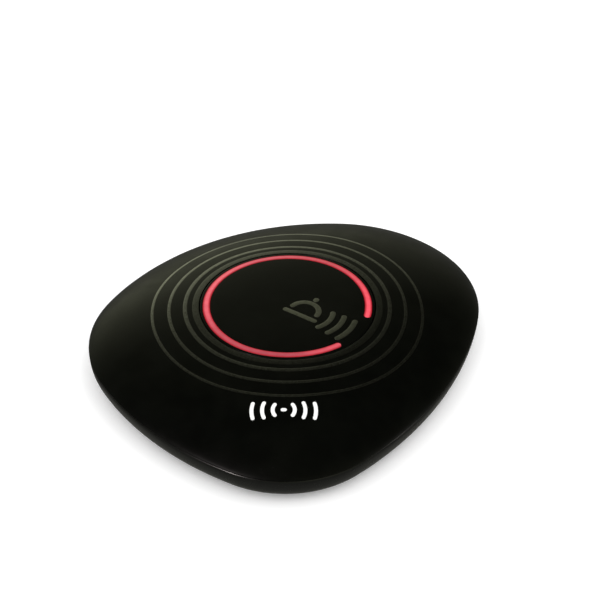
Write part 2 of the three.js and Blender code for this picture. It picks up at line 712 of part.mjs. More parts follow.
function caseScrew({ x, y }) {
  const seat = CASE_BOTTOM + SCREW_RECESS_HEIGHT - FIT;
  const head = seat - SCREW_HEAD_HEIGHT;
  const tip = screwTip();
  const screw = turned([
    [0, head],
    [SCREW_HEAD_RADIUS - SCREW_EDGE, head],
    [SCREW_HEAD_RADIUS, head + SCREW_EDGE],
    [SCREW_HEAD_RADIUS, seat],
    [SCREW_RADIUS, seat],
    [SCREW_RADIUS, tip - SCREW_RADIUS],
    [0, tip],
  ], x, y, SMALL_SIDES);
  const crossTop = head + SCREW_CROSS_DEPTH;
  return screw
    .subtract(block(SCREW_CROSS_LENGTH, SCREW_CROSS_WIDTH, head - BEYOND, crossTop, x, y))
    .subtract(block(SCREW_CROSS_WIDTH, SCREW_CROSS_LENGTH, head - BEYOND, crossTop, x, y));
}

function foot({ x, y }) {
  return turned([
    [0, 0],
    [FOOT_RADIUS - FOOT_EDGE, 0],
    [FOOT_RADIUS, FOOT_EDGE],
    [FOOT_RADIUS, CASE_BOTTOM + FOOT_LET_IN],
    [0, CASE_BOTTOM + FOOT_LET_IN],
  ], x, y, 2 * SMALL_SIDES);
}

// ---------------------------------------------------------------- assembly

const MATERIALS = {
  cover: { color: 0x0b0c0b, roughness: 0.42, metalness: 0 },
  lower: { color: 0x0c0d0c, roughness: 0.25, metalness: 0 },
  light: { color: 0xff5a70, emissive: 0xff2b45, roughness: 0.35, metalness: 0 },
  rubber: { color: 0x1a1a1a, roughness: 0.85, metalness: 0 },
  silicone: { color: 0x8a8d8c, roughness: 0.6, metalness: 0 },
  white: { color: 0xe6e6e2, roughness: 0.5, metalness: 0 },
  board: { color: 0x14512c, roughness: 0.45, metalness: 0 },
  chip: { color: 0x161618, roughness: 0.6, metalness: 0 },
  steel: { color: 0xb9bcc0, roughness: 0.3, metalness: 1 },
  copper: { color: 0xb87333, roughness: 0.3, metalness: 1 },
};

const group = new THREE.Group();
const planMin = new THREE.Vector2(planPoint(Math.PI).x, frontReach());
const planMax = new THREE.Vector2(planPoint(0).x, planPoint(Math.PI / 2).y);
group.position.set(-(planMin.x + planMax.x) / 2, -(planMin.y + planMax.y) / 2, 0);

function place(name, material, body) {
  const mesh = new THREE.Mesh(geometryOf(body), new THREE.MeshStandardMaterial(MATERIALS[material]));
  mesh.name = name;
  group.add(mesh);
}

place('top_cover', 'cover', topCover());
place('press_disc', 'cover', pressDisc());
place('light_ring', 'light', lightRing());
place('press_stem', 'white', pressStem());
place('press_seal', 'silicone', pressSeal());
place('light_shroud', 'white', lightShroud());
place('circuit_board', 'board', circuitBoard());
place('switch_body', 'chip', switchBody());
place('switch_plunger', 'white', switchPlunger());
ledPlaces().forEach((spot, i) => place(`led_${i + 1}`, 'light', led(spot)));
for (const part of BOARD_PARTS) {
  place(part.name, part.material, boardPart(part));
}
place('antenna_coil', 'copper', antennaCoil());
place('coin_cell', 'steel', coinCell());
place('cell_contact_minus', 'steel', cellContactMinus());
place('cell_contact_plus', 'steel', cellContactPlus());
place('case_gasket', 'rubber', gasketBand(0));
place('lower_case', 'lower', lowerCase());
screwPlaces().forEach((spot, i) => place(`case_screw_${i + 1}`, 'steel', caseScrew(spot)));
place('battery_door', 'lower', batteryDoor());
place('door_seal', 'rubber', sealRing(0));
footPlaces().forEach((spot, i) => place(`foot_${i + 1}`, 'rubber', foot(spot)));

export default group;
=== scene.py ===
from math import asin, atan2, cos, hypot, pi, radians, sin, sqrt, tau

import bpy
import numpy as np
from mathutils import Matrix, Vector


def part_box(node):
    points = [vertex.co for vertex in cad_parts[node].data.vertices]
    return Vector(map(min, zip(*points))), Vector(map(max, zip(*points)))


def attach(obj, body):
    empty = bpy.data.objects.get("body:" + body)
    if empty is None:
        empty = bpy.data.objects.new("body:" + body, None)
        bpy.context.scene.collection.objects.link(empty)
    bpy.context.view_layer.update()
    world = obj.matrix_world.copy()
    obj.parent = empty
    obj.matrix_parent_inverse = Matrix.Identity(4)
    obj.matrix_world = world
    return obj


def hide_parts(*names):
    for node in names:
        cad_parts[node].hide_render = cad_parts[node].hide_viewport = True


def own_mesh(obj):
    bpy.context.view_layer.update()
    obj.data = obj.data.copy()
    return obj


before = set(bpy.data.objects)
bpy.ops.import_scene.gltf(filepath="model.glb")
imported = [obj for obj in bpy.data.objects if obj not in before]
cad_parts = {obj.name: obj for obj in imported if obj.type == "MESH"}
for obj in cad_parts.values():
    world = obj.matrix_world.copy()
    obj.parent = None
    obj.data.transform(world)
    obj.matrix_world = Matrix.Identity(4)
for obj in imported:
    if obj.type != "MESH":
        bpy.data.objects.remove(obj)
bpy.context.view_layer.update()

# ---- lower case
# The bottom half of the housing, injection-moulded in semi-gloss black ABS: a thin bowl tucked in under
# itself, with the battery bay, the screw posts and the pockets for door, feet and screws. Lengths are in
# millimetres from the press axis, and become metres in the part's frame when a mesh is made.
MM = 0.001
key_low, key_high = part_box("press_disc")
press_axis = Vector(((key_low.x + key_high.x) / 2, (key_low.y + key_high.y) / 2, 0))
edge_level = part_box("top_cover")[0].z / MM
case_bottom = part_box("lower_case")[0].z / MM
board_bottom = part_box("circuit_board")[0].z / MM

CORNERS = [(12.4, 11.6, 33.0), (-14.3, -2.6, 31.7), (-0.5, -25.4, 25.2)]
SIDE_RADII = [60.0, 74.7, 91.2]
COLUMNS = 360


def side_between(first, second, radius):
    """The bowed side that touches two corner arcs, with the directions in which it meets them."""
    (x1, y1, r1), (x2, y2, r2) = first, second
    apart = hypot(x2 - x1, y2 - y1)
    along = ((radius - r1) ** 2 - (radius - r2) ** 2 + apart**2) / (2 * apart)
    across = sqrt((radius - r1) ** 2 - along**2)
    ux, uy = (x2 - x1) / apart, (y2 - y1) / apart
    x, y = x1 + ux * along - uy * across, y1 + uy * along + ux * across
    return x, y, radius, atan2(y1 - y, x1 - x), atan2(y2 - y, x2 - x)


sides = [side_between(CORNERS[i], CORNERS[(i + 1) % 3], SIDE_RADII[i]) for i in range(3)]
corners = [(*CORNERS[i], sides[i - 1][4], sides[i][3]) for i in range(3)]


def outline_point(direction):
    for x, y, radius, start, end in corners + sides:
        if (direction - start) % tau <= (end - start) % tau:
            return x + radius * cos(direction), y + radius * sin(direction)
    raise ValueError("the arcs of the outline leave a gap")


directions = np.arange(COLUMNS) * tau / COLUMNS
facing = np.stack([np.cos(directions), np.sin(directions)], 1)
outline = np.array([outline_point(a) for a in directions])
reach = np.hypot(outline[:, 0], outline[:, 1])
bearing = outline / reach[:, None]


def at_level(flat, level):
    return np.column_stack([flat, np.broadcast_to(level, len(flat))])


def outline_ring(level, inset=0.0):
    return at_level(outline - inset * facing, level)


def round_ring(level, radius):
    return at_level(bearing * radius, level)


def round_rings(corners):
    return [round_ring(level, radius) for radius, level in corners]


def rounded(width, height, steps):
    """Steps of a rounded edge, as distances (in from the side, off the face), from the face to the side."""
    turns = np.linspace(0, pi / 2, steps)
    return [(width * (1 - sin(t)), height * (1 - cos(t))) for t in turns]


def skin(rings, loop=False):
    """Points and faces of a skin through rings of points; a ring of one point closes an end."""
    points = np.concatenate([np.reshape(ring, (-1, 3)) for ring in rings])
    counts = [len(np.reshape(ring, (-1, 3))) for ring in rings]
    starts = np.cumsum([0] + counts)
    faces = []
    for a in range(len(rings) if loop else len(rings) - 1):
        b = (a + 1) % len(rings)
        around = max(counts[a], counts[b])
        for i in range(around):
            j = (i + 1) % around
            corner = [starts[a] + i % counts[a], starts[a] + j % counts[a]]
            corner += [starts[b] + j % counts[b], starts[b] + i % counts[b]]
            faces.append(list(dict.fromkeys(int(c) for c in corner)))
    return points, faces


def form(name, points, faces):
    """A closed body in the row frame, facing out."""
    mesh = bpy.data.meshes.new(name)
    mesh.from_pydata([(Vector(p) * MM + press_axis) for p in points], [], faces)
    a, b, c = (np.array([points[f[i]] for f in faces]) for i in range(3))
    d = np.array([points[f[-1]] for f in faces])
    if np.sum(a * np.cross(b, c)) + np.sum(a * np.cross(c, d)) < 0:
        mesh.flip_normals()
    mesh.update()
    made = bpy.data.objects.new(name, mesh)
    bpy.context.scene.collection.objects.link(made)
    return made


def turned(name, profile, x=0.0, y=0.0, sides=96):
    """A body turned from (radius, level) pairs that start and end on its own axis."""
    turn = np.arange(sides) * tau / sides
    circle = np.stack([np.cos(turn), np.sin(turn)], 1)
    rings = [at_level((x, y) + radius * circle, level) if radius else [(x, y, level)]
             for radius, level in profile]
    return form(name, *skin(rings))


def shape_with(piece, tool, operation="DIFFERENCE"):
    """Cuts the tool out of the piece, or joins it on, and throws the tool away."""
    change = piece.modifiers.new("shaping", "BOOLEAN")
    change.operation = operation
    change.solver = "MANIFOLD"
    change.object = tool
    shaped = piece.evaluated_get(bpy.context.evaluated_depsgraph_get())
    old = piece.data
    piece.data = bpy.data.meshes.new_from_object(shaped)
    piece.modifiers.clear()
    bpy.data.meshes.remove(old)
    bpy.data.objects.remove(tool)


def fit_piece(piece, body, slot, material, *stands_for):
    """Smooth shading that keeps flats flat, the finish, and the piece's place in the frame."""
    piece.data.shade_smooth()
    piece.data.set_sharp_from_angle(angle=radians(38))
    piece.modifiers.new("flat_faces_stay_flat", "WEIGHTED_NORMAL").keep_sharp = True
    piece.data.materials.clear()
    piece.data.materials.append(material)
    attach(piece, body)
    if stands_for:
        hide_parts(*stands_for)
    return piece


def add_node(tree, kind, inputs=None, **settings):
    """A node with its settings, and each input either a value or another node's output."""
    made = tree.nodes.new("ShaderNode" + kind)
    for name, value in settings.items():
        setattr(made, name, value)
    for name, value in (inputs or {}).items():
        if isinstance(value, bpy.types.NodeSocket):
            tree.links.new(value, made.inputs[name])
        else:
            made.inputs[name].default_value = value
    return made


def calculate(tree, operation, *values):
    return add_node(tree, "Math", dict(enumerate(values)), operation=operation).outputs[0]


def vector(tree, operation, *values):
    return add_node(tree, "VectorMath", dict(enumerate(values)), operation=operation).outputs


def scaled(tree, place, scale):
    return add_node(tree, "VectorMath", {0: place, "Scale": scale}, operation="SCALE").outputs[0]


def parts_of(tree, place):
    return add_node(tree, "SeparateXYZ", {0: place}).outputs


def add_shares(tree, value, *shares):
    """A value with a share of each mask added to it."""
    for mask, share in shares:
        value = calculate(tree, "MULTIPLY_ADD", mask, share, value)
    return value


def spread(tree, value, low, high, to_low=0.0, to_high=1.0):
    """A value stretched from one range to another, eased at both ends."""
    given = {"Value": value, "From Min": low, "From Max": high, "To Min": to_low, "To Max": to_high}
    return add_node(tree, "MapRange", given, interpolation_type="SMOOTHSTEP").outputs[0]


def blend_colours(tree, share, first, second):
    made = add_node(tree, "Mix", data_type="RGBA")
    for socket, value in zip((made.inputs[0], made.inputs[6], made.inputs[7]), (share, first, second)):
        if isinstance(value, bpy.types.NodeSocket):
            tree.links.new(value, socket)
        else:
            socket.default_value = value if isinstance(value, float) else (*value, 1.0)
    return made.outputs[2]


def place_in_mm(tree):
    return scaled(tree, add_node(tree, "TexCoord").outputs["Object"], 1 / MM)


def stretched(tree, place, turn, along, across):
    """The place turned about the vertical and stretched, for marks that run one way."""
    given = {"Vector": place, "Angle": radians(turn)}
    turned_place = add_node(tree, "VectorRotate", given, rotation_type="Z_AXIS").outputs[0]
    return vector(tree, "MULTIPLY", turned_place, (along, across, across))[0]


def noise(tree, place, scale, detail=3.0, roughness=0.55, distortion=0.0):
    given = {"Vector": place, "Scale": scale, "Detail": detail}
    given |= {"Roughness": roughness, "Distortion": distortion}
    return add_node(tree, "TexNoise", given).outputs[0]


def effect(name, inputs, outputs):
    """An empty node group for an effect that several finishes share."""
    group = bpy.data.node_groups.new(name, "ShaderNodeTree")
    for label, value in inputs.items():
        group.interface.new_socket(label, in_out="INPUT", socket_type="NodeSocketFloat").default_value = value
    for label in outputs:
        group.interface.new_socket(label, in_out="OUTPUT", socket_type="NodeSocketFloat")
    return group, group.nodes.new("NodeGroupInput").outputs, group.nodes.new("NodeGroupOutput").inputs


def use_effect(tree, group, **values):
    made = tree.nodes.new("ShaderNodeGroup")
    made.node_tree = group
    for name, value in values.items():
        made.inputs[name.replace("_", " ")].default_value = value
    return made.outputs


def new_finish(name, **sockets_set):
    """A material with its shader's constant sockets set, ready for the nodes that vary over the surface."""
    made = bpy.data.materials.new(name)
    made.use_nodes = True
    for label, value in sockets_set.items():
        made.node_tree.nodes["Principled BSDF"].inputs[label.replace("_", " ")].default_value = value
    return made, made.node_tree


def feed(tree, **sources):
    """Joins what the nodes put out to the sockets of a finish's shader."""
    for label, source in sources.items():
        tree.links.new(source, tree.nodes["Principled BSDF"].inputs[label.replace("_", " ")])


def bump(tree, height, strength, depth):
    given = {"Height": height, "Strength": strength, "Distance": depth * MM}
    return add_node(tree, "Bump", given).outputs[0]


def finish_with(made, colour, tone, roughness, height, strength, depth):
    """Joins up a finish's colour, its roughness, which drifts between two values, and its relief."""
    tree = made.node_tree
    rough = spread(tree, tone, 0.3, 0.7, *roughness)
    feed(tree, Base_Color=colour, Roughness=rough, Normal=bump(tree, height, strength, depth))
    return made


def moulded_grain_effect():
    """The texture that a spark-eroded mould leaves: fine grains with small pits, and a slow drift in tone."""
    group, given, result = effect("moulded_grain", {"Grains per mm": 6.0}, ["Height", "Tone"])
    place = place_in_mm(group)
    grain = noise(group, place, given[0], 2.0)
    wide = calculate(group, "MULTIPLY", given[0], 0.45)
    pits = add_node(group, "TexVoronoi", {"Vector": place, "Scale": wide}, feature="SMOOTH_F1").outputs
    group.links.new(calculate(group, "MULTIPLY_ADD", pits["Distance"], 0.5, grain), result["Height"])
    group.links.new(noise(group, place, 0.16, 6.0, 0.6), result["Tone"])
    return group


def handling_effect():
    """What hands and table tops leave: soft greasy smudges and hairline scratches."""
    group, given, result = effect("handling_marks", {"Amount": 0.5}, ["Smudge", "Scratch"])
    place = place_in_mm(group)
    cloud = spread(group, noise(group, place, 0.075, 5.0, 0.62, 0.8), 0.46, 0.68)
    hairlines = 0.0
    for turn, length, fineness in ((24, 0.035, 2.6), (-47, 0.05, 3.3), (81, 0.028, 2.1)):
        lines = noise(group, stretched(group, place, turn, length, fineness), 1.0, 1.5)
        hairlines = calculate(group, "MAXIMUM", hairlines, spread(group, lines, 0.73, 0.76))
    group.links.new(calculate(group, "MULTIPLY", cloud, given[0]), result["Smudge"])
    group.links.new(calculate(group, "MULTIPLY", hairlines, given[0]), result["Scratch"])
    return group


def dust_effect():
    """Specks of lint that have settled on faces that look up."""
    group, given, result = effect("settled_dust", {"Amount": 0.5, "Specks per mm": 0.4}, ["Mask"])
    place = place_in_mm(group)
    cells = add_node(group, "TexVoronoi", {"Vector": place, "Scale": given[1]})
    speck = spread(group, cells.outputs["Distance"], 0.05, 0.015)
    chance = add_node(group, "SeparateColor", {0: cells.outputs["Color"]}).outputs[0]
    speck = calculate(group, "MULTIPLY", speck, spread(group, chance, 0.55, 0.95))
    up = parts_of(group, add_node(group, "NewGeometry").outputs["Normal"])[2]
    speck = calculate(group, "MULTIPLY", speck, spread(group, up, 0.2, 0.8))
    group.links.new(calculate(group, "MULTIPLY", speck, given[0]), result["Mask"])
    return group


def rubbed_edge_effect():
    """Outer edges that hands and the table have rubbed brighter, unevenly."""
    group, given, result = effect("rubbed_edges", {"Amount": 0.5}, ["Mask"])
    sharp = spread(group, add_node(group, "NewGeometry").outputs["Pointiness"], 0.53, 0.6)
    patchy = spread(group, noise(group, place_in_mm(group), 0.5, 4.0), 0.35, 0.65, 0.25, 1.0)
    worn = calculate(group, "MULTIPLY", calculate(group, "MULTIPLY", sharp, patchy), given[0])
    group.links.new(worn, result["Mask"])
    return group


moulded_grain = moulded_grain_effect()
handling_marks = handling_effect()
settled_dust = dust_effect()
rubbed_edges = rubbed_edge_effect()


def black_plastic(name, tone, shine, grains, grain_depth, handled, dust, rubbed, specular):
    """Black ABS in one of its mould textures; tone is its colour and shine its roughness."""
    made, tree = new_finish(name, IOR=1.5, Specular_IOR_Level=specular)
    skin_marks = use_effect(tree, moulded_grain, Grains_per_mm=grains)
    marks = use_effect(tree, handling_marks, Amount=handled)
    specks = use_effect(tree, settled_dust, Amount=dust)["Mask"]
    edges = use_effect(tree, rubbed_edges, Amount=rubbed)["Mask"]
    drift = spread(tree, skin_marks["Tone"], 0.35, 0.65)
    colour = blend_colours(tree, drift, [0.8 * c for c in tone], [1.25 * c for c in tone])
    colour = blend_colours(tree, edges, colour, [4 * c for c in tone])
    colour = blend_colours(tree, marks["Scratch"], colour, [3 * c for c in tone])
    colour = blend_colours(tree, specks, colour, (0.11, 0.105, 0.095))
    rough = spread(tree, skin_marks["Tone"], 0.3, 0.7, shine - 0.03, shine + 0.03)
    rough = add_shares(tree, rough, (marks["Smudge"], -0.05), (marks["Scratch"], 0.18), (specks, 0.4),
                       (edges, -0.3))
    height = add_shares(tree, skin_marks["Height"], (marks["Scratch"], -0.8))
    feed(tree, Base_Color=colour, Roughness=rough, Normal=bump(tree, height, 0.5, grain_depth))
    return made


LOWER_TUCK = 4.2
WALL = 2.0
FLOOR = 1.6
PARTING_GAP = 0.3
FIT = 0.05
SHOULDER = (0.45, 1.0)
GASKET_OUTER = 0.7
GASKET_INNER = 1.4
GROOVE_BOTTOM = 5.85
POCKET_EDGE = 0.25
DOOR_POCKET = (16.3, 1.7)
SEAL_GROOVE = (15.4, 14.3, 2.2)
LUG_THROAT = (12.7, 2.4)
LUG_CHANNEL = (13.7, 3.35)
BAY_RADIUS = 12.9
BAY_WALL_OUTER = 14.4
BAY_WALL_TOP = 8.45
BAY_BASE_OUTER = 17.8
BAY_BASE_TOP = 4.1

depth = edge_level - case_bottom
rim_level = edge_level - PARTING_GAP
pocket_radius, pocket_top = DOOR_POCKET
throat_radius, throat_top = LUG_THROAT


def bowl_rings(inset, deep, first, last, steps):
    """Rings down or up a bowl of the housing's outline, inset at its rim, between two turns of its curve."""
    return [outline_ring(edge_level - deep * sin(t), inset + LOWER_TUCK * (1 - cos(t)))
            for t in np.linspace(first, last, steps)]


lower_rings = []
for inward, drop in rounded(*SHOULDER, 9)[:-1]:
    tucked = LOWER_TUCK * (1 - sqrt(1 - ((PARTING_GAP + drop) / depth) ** 2))
    lower_rings.append(outline_ring(rim_level - drop, tucked + inward))
lower_rings += bowl_rings(0, depth, asin((PARTING_GAP + SHOULDER[1]) / depth), pi / 2, 30)
floor_edge = outline_ring(case_bottom, LOWER_TUCK)
floor_hole = round_ring(case_bottom, pocket_radius + POCKET_EDGE)
lower_rings += [floor_edge + (floor_hole - floor_edge) * t for t in (0.04, 0.35, 0.7, 0.97, 1.0)]
pocket_edge = rounded(POCKET_EDGE, POCKET_EDGE, 6)[1:]
lower_rings += round_rings([(pocket_radius + out, case_bottom + up) for out, up in pocket_edge])
lower_rings += round_rings([
    (pocket_radius, pocket_top - FIT), (pocket_radius, pocket_top), (pocket_radius - FIT, pocket_top),
    (SEAL_GROOVE[0], pocket_top), (SEAL_GROOVE[0], SEAL_GROOVE[2]),
    (SEAL_GROOVE[1], SEAL_GROOVE[2]), (SEAL_GROOVE[1], pocket_top),
    (throat_radius, pocket_top), LUG_THROAT, (LUG_CHANNEL[0], throat_top), LUG_CHANNEL,
    (BAY_RADIUS, LUG_CHANNEL[1]), (BAY_RADIUS, BAY_WALL_TOP), (BAY_WALL_OUTER, BAY_WALL_TOP),
    (BAY_WALL_OUTER, BAY_BASE_TOP), (BAY_BASE_OUTER, BAY_BASE_TOP), (BAY_BASE_OUTER, case_bottom + FLOOR),
])
inner_depth = depth - FLOOR
lower_rings += bowl_rings(WALL, inner_depth, pi / 2, asin(PARTING_GAP / inner_depth), 16)
groove_inner, groove_outer = GASKET_INNER + FIT, GASKET_OUTER - FIT
for inset, level in [(groove_inner, rim_level), (groove_inner, GROOVE_BOTTOM),
                     (groove_outer, GROOVE_BOTTOM), (groove_outer, rim_level)]:
    lower_rings.append(outline_ring(level, inset))
lower_case = form("lower_shell", *skin(lower_rings, loop=True))

POST_RADIUS = 4.4
SCREW_POCKET = (2.3, 4.5)
SCREW_BORE = 1.3
FOOT_POCKET = (4.3, 1.4)
POST_FOOT = 0.4
below = case_bottom - 2
post_foot, post_top = case_bottom + POST_FOOT, board_bottom - FIT


def pocket_cutter(name, radius, top, x, y):
    """A cutter for a round pocket in the flat bottom, flared so that the pocket's edge comes out rounded."""
    flare = [(radius + out, case_bottom + up) for out, up in rounded(POCKET_EDGE, POCKET_EDGE, 5)]
    profile = [(0, below), (radius + POCKET_EDGE, below), *flare, (radius, top), (0, top)]
    return turned(name, profile, x, y, 64)


def peg(name, radius, low, high, x, y, sides=48):
    return turned(name, [(0, low), (radius, low), (radius, high), (0, high)], x, y, sides)


def from_axis(node):
    low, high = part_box(node)
    middle = ((low + high) / 2 - press_axis) / MM
    return middle.x, middle.y


screw_places = [from_axis(f"case_screw_{i}") for i in (1, 2, 3)]
foot_places = [from_axis(f"foot_{i}") for i in (1, 2, 3)]
for x, y in screw_places:
    shape_with(lower_case, peg("post", POST_RADIUS, post_foot, post_top, x, y), "UNION")
    shape_with(lower_case, pocket_cutter("screw_pocket", *SCREW_POCKET, x, y))
    shape_with(lower_case, peg("screw_bore", SCREW_BORE, below, board_bottom + 2, x, y, 32))
for x, y in foot_places:
    shape_with(lower_case, pocket_cutter("foot_pocket", *FOOT_POCKET, x, y))

semi_gloss_black = black_plastic(
    "semi_gloss_black_abs", (0.0024, 0.0026, 0.002), shine=0.26, grains=3.0, grain_depth=0.004,
    handled=0.55, dust=0.35, rubbed=0.35, specular=0.5,
)
fit_piece(lower_case, "case", "lower", semi_gloss_black, "lower_case")

# ---- gasket
# A soft black rubber band laid in the lower case's rim. It fills the parting line and keeps drinks out.
GASKET_FOOT = 0.1
GASKET_CREST = 0.12
gasket_low, gasket_high = (corner.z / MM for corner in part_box("case_gasket"))
gasket_rings = [outline_ring(level, inset) for inset, level in [
    (GASKET_OUTER + GASKET_FOOT, gasket_low), (GASKET_OUTER, gasket_low + GASKET_FOOT),
    (GASKET_OUTER, gasket_high - GASKET_CREST), (GASKET_OUTER + GASKET_CREST, gasket_high),
    (GASKET_INNER - GASKET_CREST, gasket_high), (GASKET_INNER, gasket_high - GASKET_CREST),
    (GASKET_INNER, gasket_low + GASKET_FOOT), (GASKET_INNER - GASKET_FOOT, gasket_low),
]]


def rubber(name, tone, roughness):
    """Matt moulded rubber, greyed a little where it is handled and dusty all over."""
    made, tree = new_finish(name, Specular_IOR_Level=0.3)
    skin_marks = use_effect(tree, moulded_grain, Grains_per_mm=9.0)
    marks = use_effect(tree, handling_marks, Amount=0.6)
    specks = use_effect(tree, settled_dust, Amount=0.7, Specks_per_mm=0.8)["Mask"]
    drift = spread(tree, skin_marks["Tone"], 0.3, 0.7)
    colour = blend_colours(tree, drift, [0.75 * c for c in tone], [1.35 * c for c in tone])
    colour = blend_colours(tree, marks["Smudge"], colour, [1.8 * c for c in tone])
    colour = blend_colours(tree, specks, colour, (0.14, 0.135, 0.12))
    span = (roughness - 0.06, roughness + 0.06)
    return finish_with(made, colour, skin_marks["Tone"], span, skin_marks["Height"], 0.8, 0.02)


gasket_rubber = rubber("gasket_rubber", (0.004, 0.004, 0.004), 0.8)
gasket = form("parting_gasket", *skin(gasket_rings, loop=True))
fit_piece(gasket, "case", "rubber", gasket_rubber, "case_gasket")

# ---- battery door
# A round bayonet door in semi-gloss black ABS. A coin in its slot turns it until its lugs leave their
# channel, and an O-ring of black rubber lies under its flange.
DOOR_RADIUS = 16.0
DOOR_FLANGE_TOP = 1.65
DOOR_EDGE = 0.3
DOOR_LAND = 0.6
DOOR_DISH = 0.15
DISH_RADIUS = 10.4
DISH_EDGE = 0.5
PLUG_RADIUS = 12.55
LUG_OUTER = 13.55
LUG_INNER = 11.55
LUG_LEVELS = (2.45, 3.05)
LUG_HALF_ANGLE = 15
COIN_SLOT = (14.0, 1.8, 0.8)

door_profile = [(0, case_bottom + DOOR_DISH), (DISH_RADIUS, case_bottom + DOOR_DISH)]
for t in (0.25, 0.5, 0.75, 1.0):
    eased = t * t * (3 - 2 * t)
    door_profile.append((DISH_RADIUS + DISH_EDGE * t, case_bottom + DOOR_DISH * (1 - eased)))
door_profile.append((DOOR_RADIUS - DOOR_LAND, case_bottom))
door_profile += [(DOOR_RADIUS - back, case_bottom + up) for back, up in rounded(DOOR_EDGE, DOOR_EDGE, 7)]
door_profile += [(DOOR_RADIUS, DOOR_FLANGE_TOP), (PLUG_RADIUS, DOOR_FLANGE_TOP), (PLUG_RADIUS, LUG_LEVELS[1])]
battery_door = turned("coin_slot_door", [*door_profile, (0, LUG_LEVELS[1])], sides=180)


def bar_outline(length, width, x=0.0, y=0.0, turn=0.0, steps=10):
    """A bar with round ends, as points in order."""
    half, radius = length / 2 - width / 2, width / 2
    points = []
    for middle, start in ((half, -90), (-half, 90)):
        turns = np.radians(start + 180 * np.arange(steps + 1) / steps)
        points += [(middle + radius * cos(t), radius * sin(t)) for t in turns]
    ct, st = cos(turn), sin(turn)
    return [(x + px * ct - py * st, y + px * st + py * ct) for px, py in points]


def prism(name, points, low, high):
    rings = [[(sum(p[0] for p in points) / len(points), sum(p[1] for p in points) / len(points), low)]]
    rings += [[(x, y, level) for x, y in points] for level in (low, high)]
    rings.append([(*rings[0][0][:2], high)])
    return form(name, *skin(rings))


slot_length, slot_width, slot_depth = COIN_SLOT
coin_cut = prism("coin_slot", bar_outline(slot_length, slot_width), below, case_bottom + slot_depth)
shape_with(battery_door, coin_cut)
for middle in (0, 120, 240):
    turns = np.radians(np.linspace(middle - LUG_HALF_ANGLE, middle + LUG_HALF_ANGLE, 12))
    lug = [(LUG_OUTER * cos(t), LUG_OUTER * sin(t)) for t in turns]
    lug += [(LUG_INNER * cos(t), LUG_INNER * sin(t)) for t in turns[::-1]]
    shape_with(battery_door, prism("lug", lug, *LUG_LEVELS), "UNION")
door_black = black_plastic(
    "door_black_abs", (0.0046, 0.0048, 0.004), shine=0.34, grains=4.0, grain_depth=0.008,
    handled=0.9, dust=0.2, rubbed=0.0, specular=0.5,
)
fit_piece(battery_door, "door", "door", door_black, "battery_door")

# ---- feet and screws
# Three black rubber feet are glued into round pockets, and three zinc-plated self-tapping screws stand in
# deep pockets beside them. The screws pull the two shells together.
FOOT_RADIUS = 4.0
FOOT_TOP = 1.35
FOOT_CROWN = (1.4, 0.45)
foot_rubber = rubber("foot_rubber", (0.012, 0.012, 0.012), 0.85)
foot_crown = [(FOOT_RADIUS - back, up) for back, up in rounded(*FOOT_CROWN, 7)]
foot_profile = [(0, 0.0), *foot_crown, (FOOT_RADIUS, FOOT_TOP), (0, FOOT_TOP)]
for i, (x, y) in enumerate(foot_places, 1):
    foot = turned(f"rubber_foot_{i}", foot_profile, x, y, 64)
    fit_piece(foot, "case", "rubber", foot_rubber, f"foot_{i}")


def brushed_metal_effect():
    """Metal drawn or ground one way: fine parallel streaks, and a slow drift in tone."""
    group, given, result = effect("brushed_metal", {"Streaks per mm": 6.0}, ["Height", "Tone"])
    place = place_in_mm(group)
    streaks = noise(group, stretched(group, place, 0, 0.06, 1.0), given[0], 3.0)
    group.links.new(streaks, result["Height"])
    group.links.new(noise(group, place, 0.3, 5.0), result["Tone"])
    return group


brushed_metal = brushed_metal_effect()


def plated_metal(name, bright, dull, roughness, streaks=6.0):
    """Plated sheet or wire: streaked, a little uneven in colour, with fine scratches."""
    made, tree = new_finish(name, Metallic=1.0)
    streak = use_effect(tree, brushed_metal, Streaks_per_mm=streaks)
    marks = use_effect(tree, handling_marks, Amount=0.8)
    colour = blend_colours(tree, spread(tree, streak["Tone"], 0.3, 0.7), dull, bright)
    colour = blend_colours(tree, marks["Smudge"], colour, [0.7 * c for c in dull])
    rough = spread(tree, streak["Height"], 0.3, 0.7, roughness - 0.08, roughness + 0.08)
    rough = add_shares(tree, rough, (marks["Scratch"], 0.2))
    height = add_shares(tree, streak["Height"], (marks["Scratch"], -1.0))
    feed(tree, Base_Color=colour, Roughness=rough, Normal=bump(tree, height, 0.35, 0.005))
    return made


SCREW_RADIUS = 1.0
SCREW_HEAD = (2.0, 2.95, 4.45)
SCREW_CROWN = 0.45
SCREW_POINT = 0.7
CROSS_CUT = (2.4, 0.5, 0.8)
THREAD_PITCH = 0.9
THREAD_ROOT = 0.8
THREAD_STEPS = (0.5, 0.62, 0.72)
THREAD_FREE = (0.2, 1.0)
screw_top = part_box("case_screw_1")[1].z / MM
zinc = plated_metal("zinc_plate", (0.42, 0.42, 0.41), (0.27, 0.27, 0.28), 0.34)
head_radius, head_low, head_high = SCREW_HEAD
screw_profile = [(head_radius - back, head_low + up) for back, up in rounded(head_radius, SCREW_CROWN, 7)]
screw_profile += [(head_radius, head_high), (SCREW_RADIUS, head_high)]
for k in range(int((screw_top - head_high - sum(THREAD_FREE)) / THREAD_PITCH)):
    low = head_high + THREAD_FREE[0] + k * THREAD_PITCH
    flank, crest, end = (low + step for step in THREAD_STEPS)
    screw_profile += [(THREAD_ROOT, low), (THREAD_ROOT, flank), (SCREW_RADIUS, crest), (SCREW_RADIUS, end)]
screw_profile += [(SCREW_POINT, screw_top - SCREW_POINT), (0, screw_top)]
cross_length, cross_width, cross_depth = CROSS_CUT
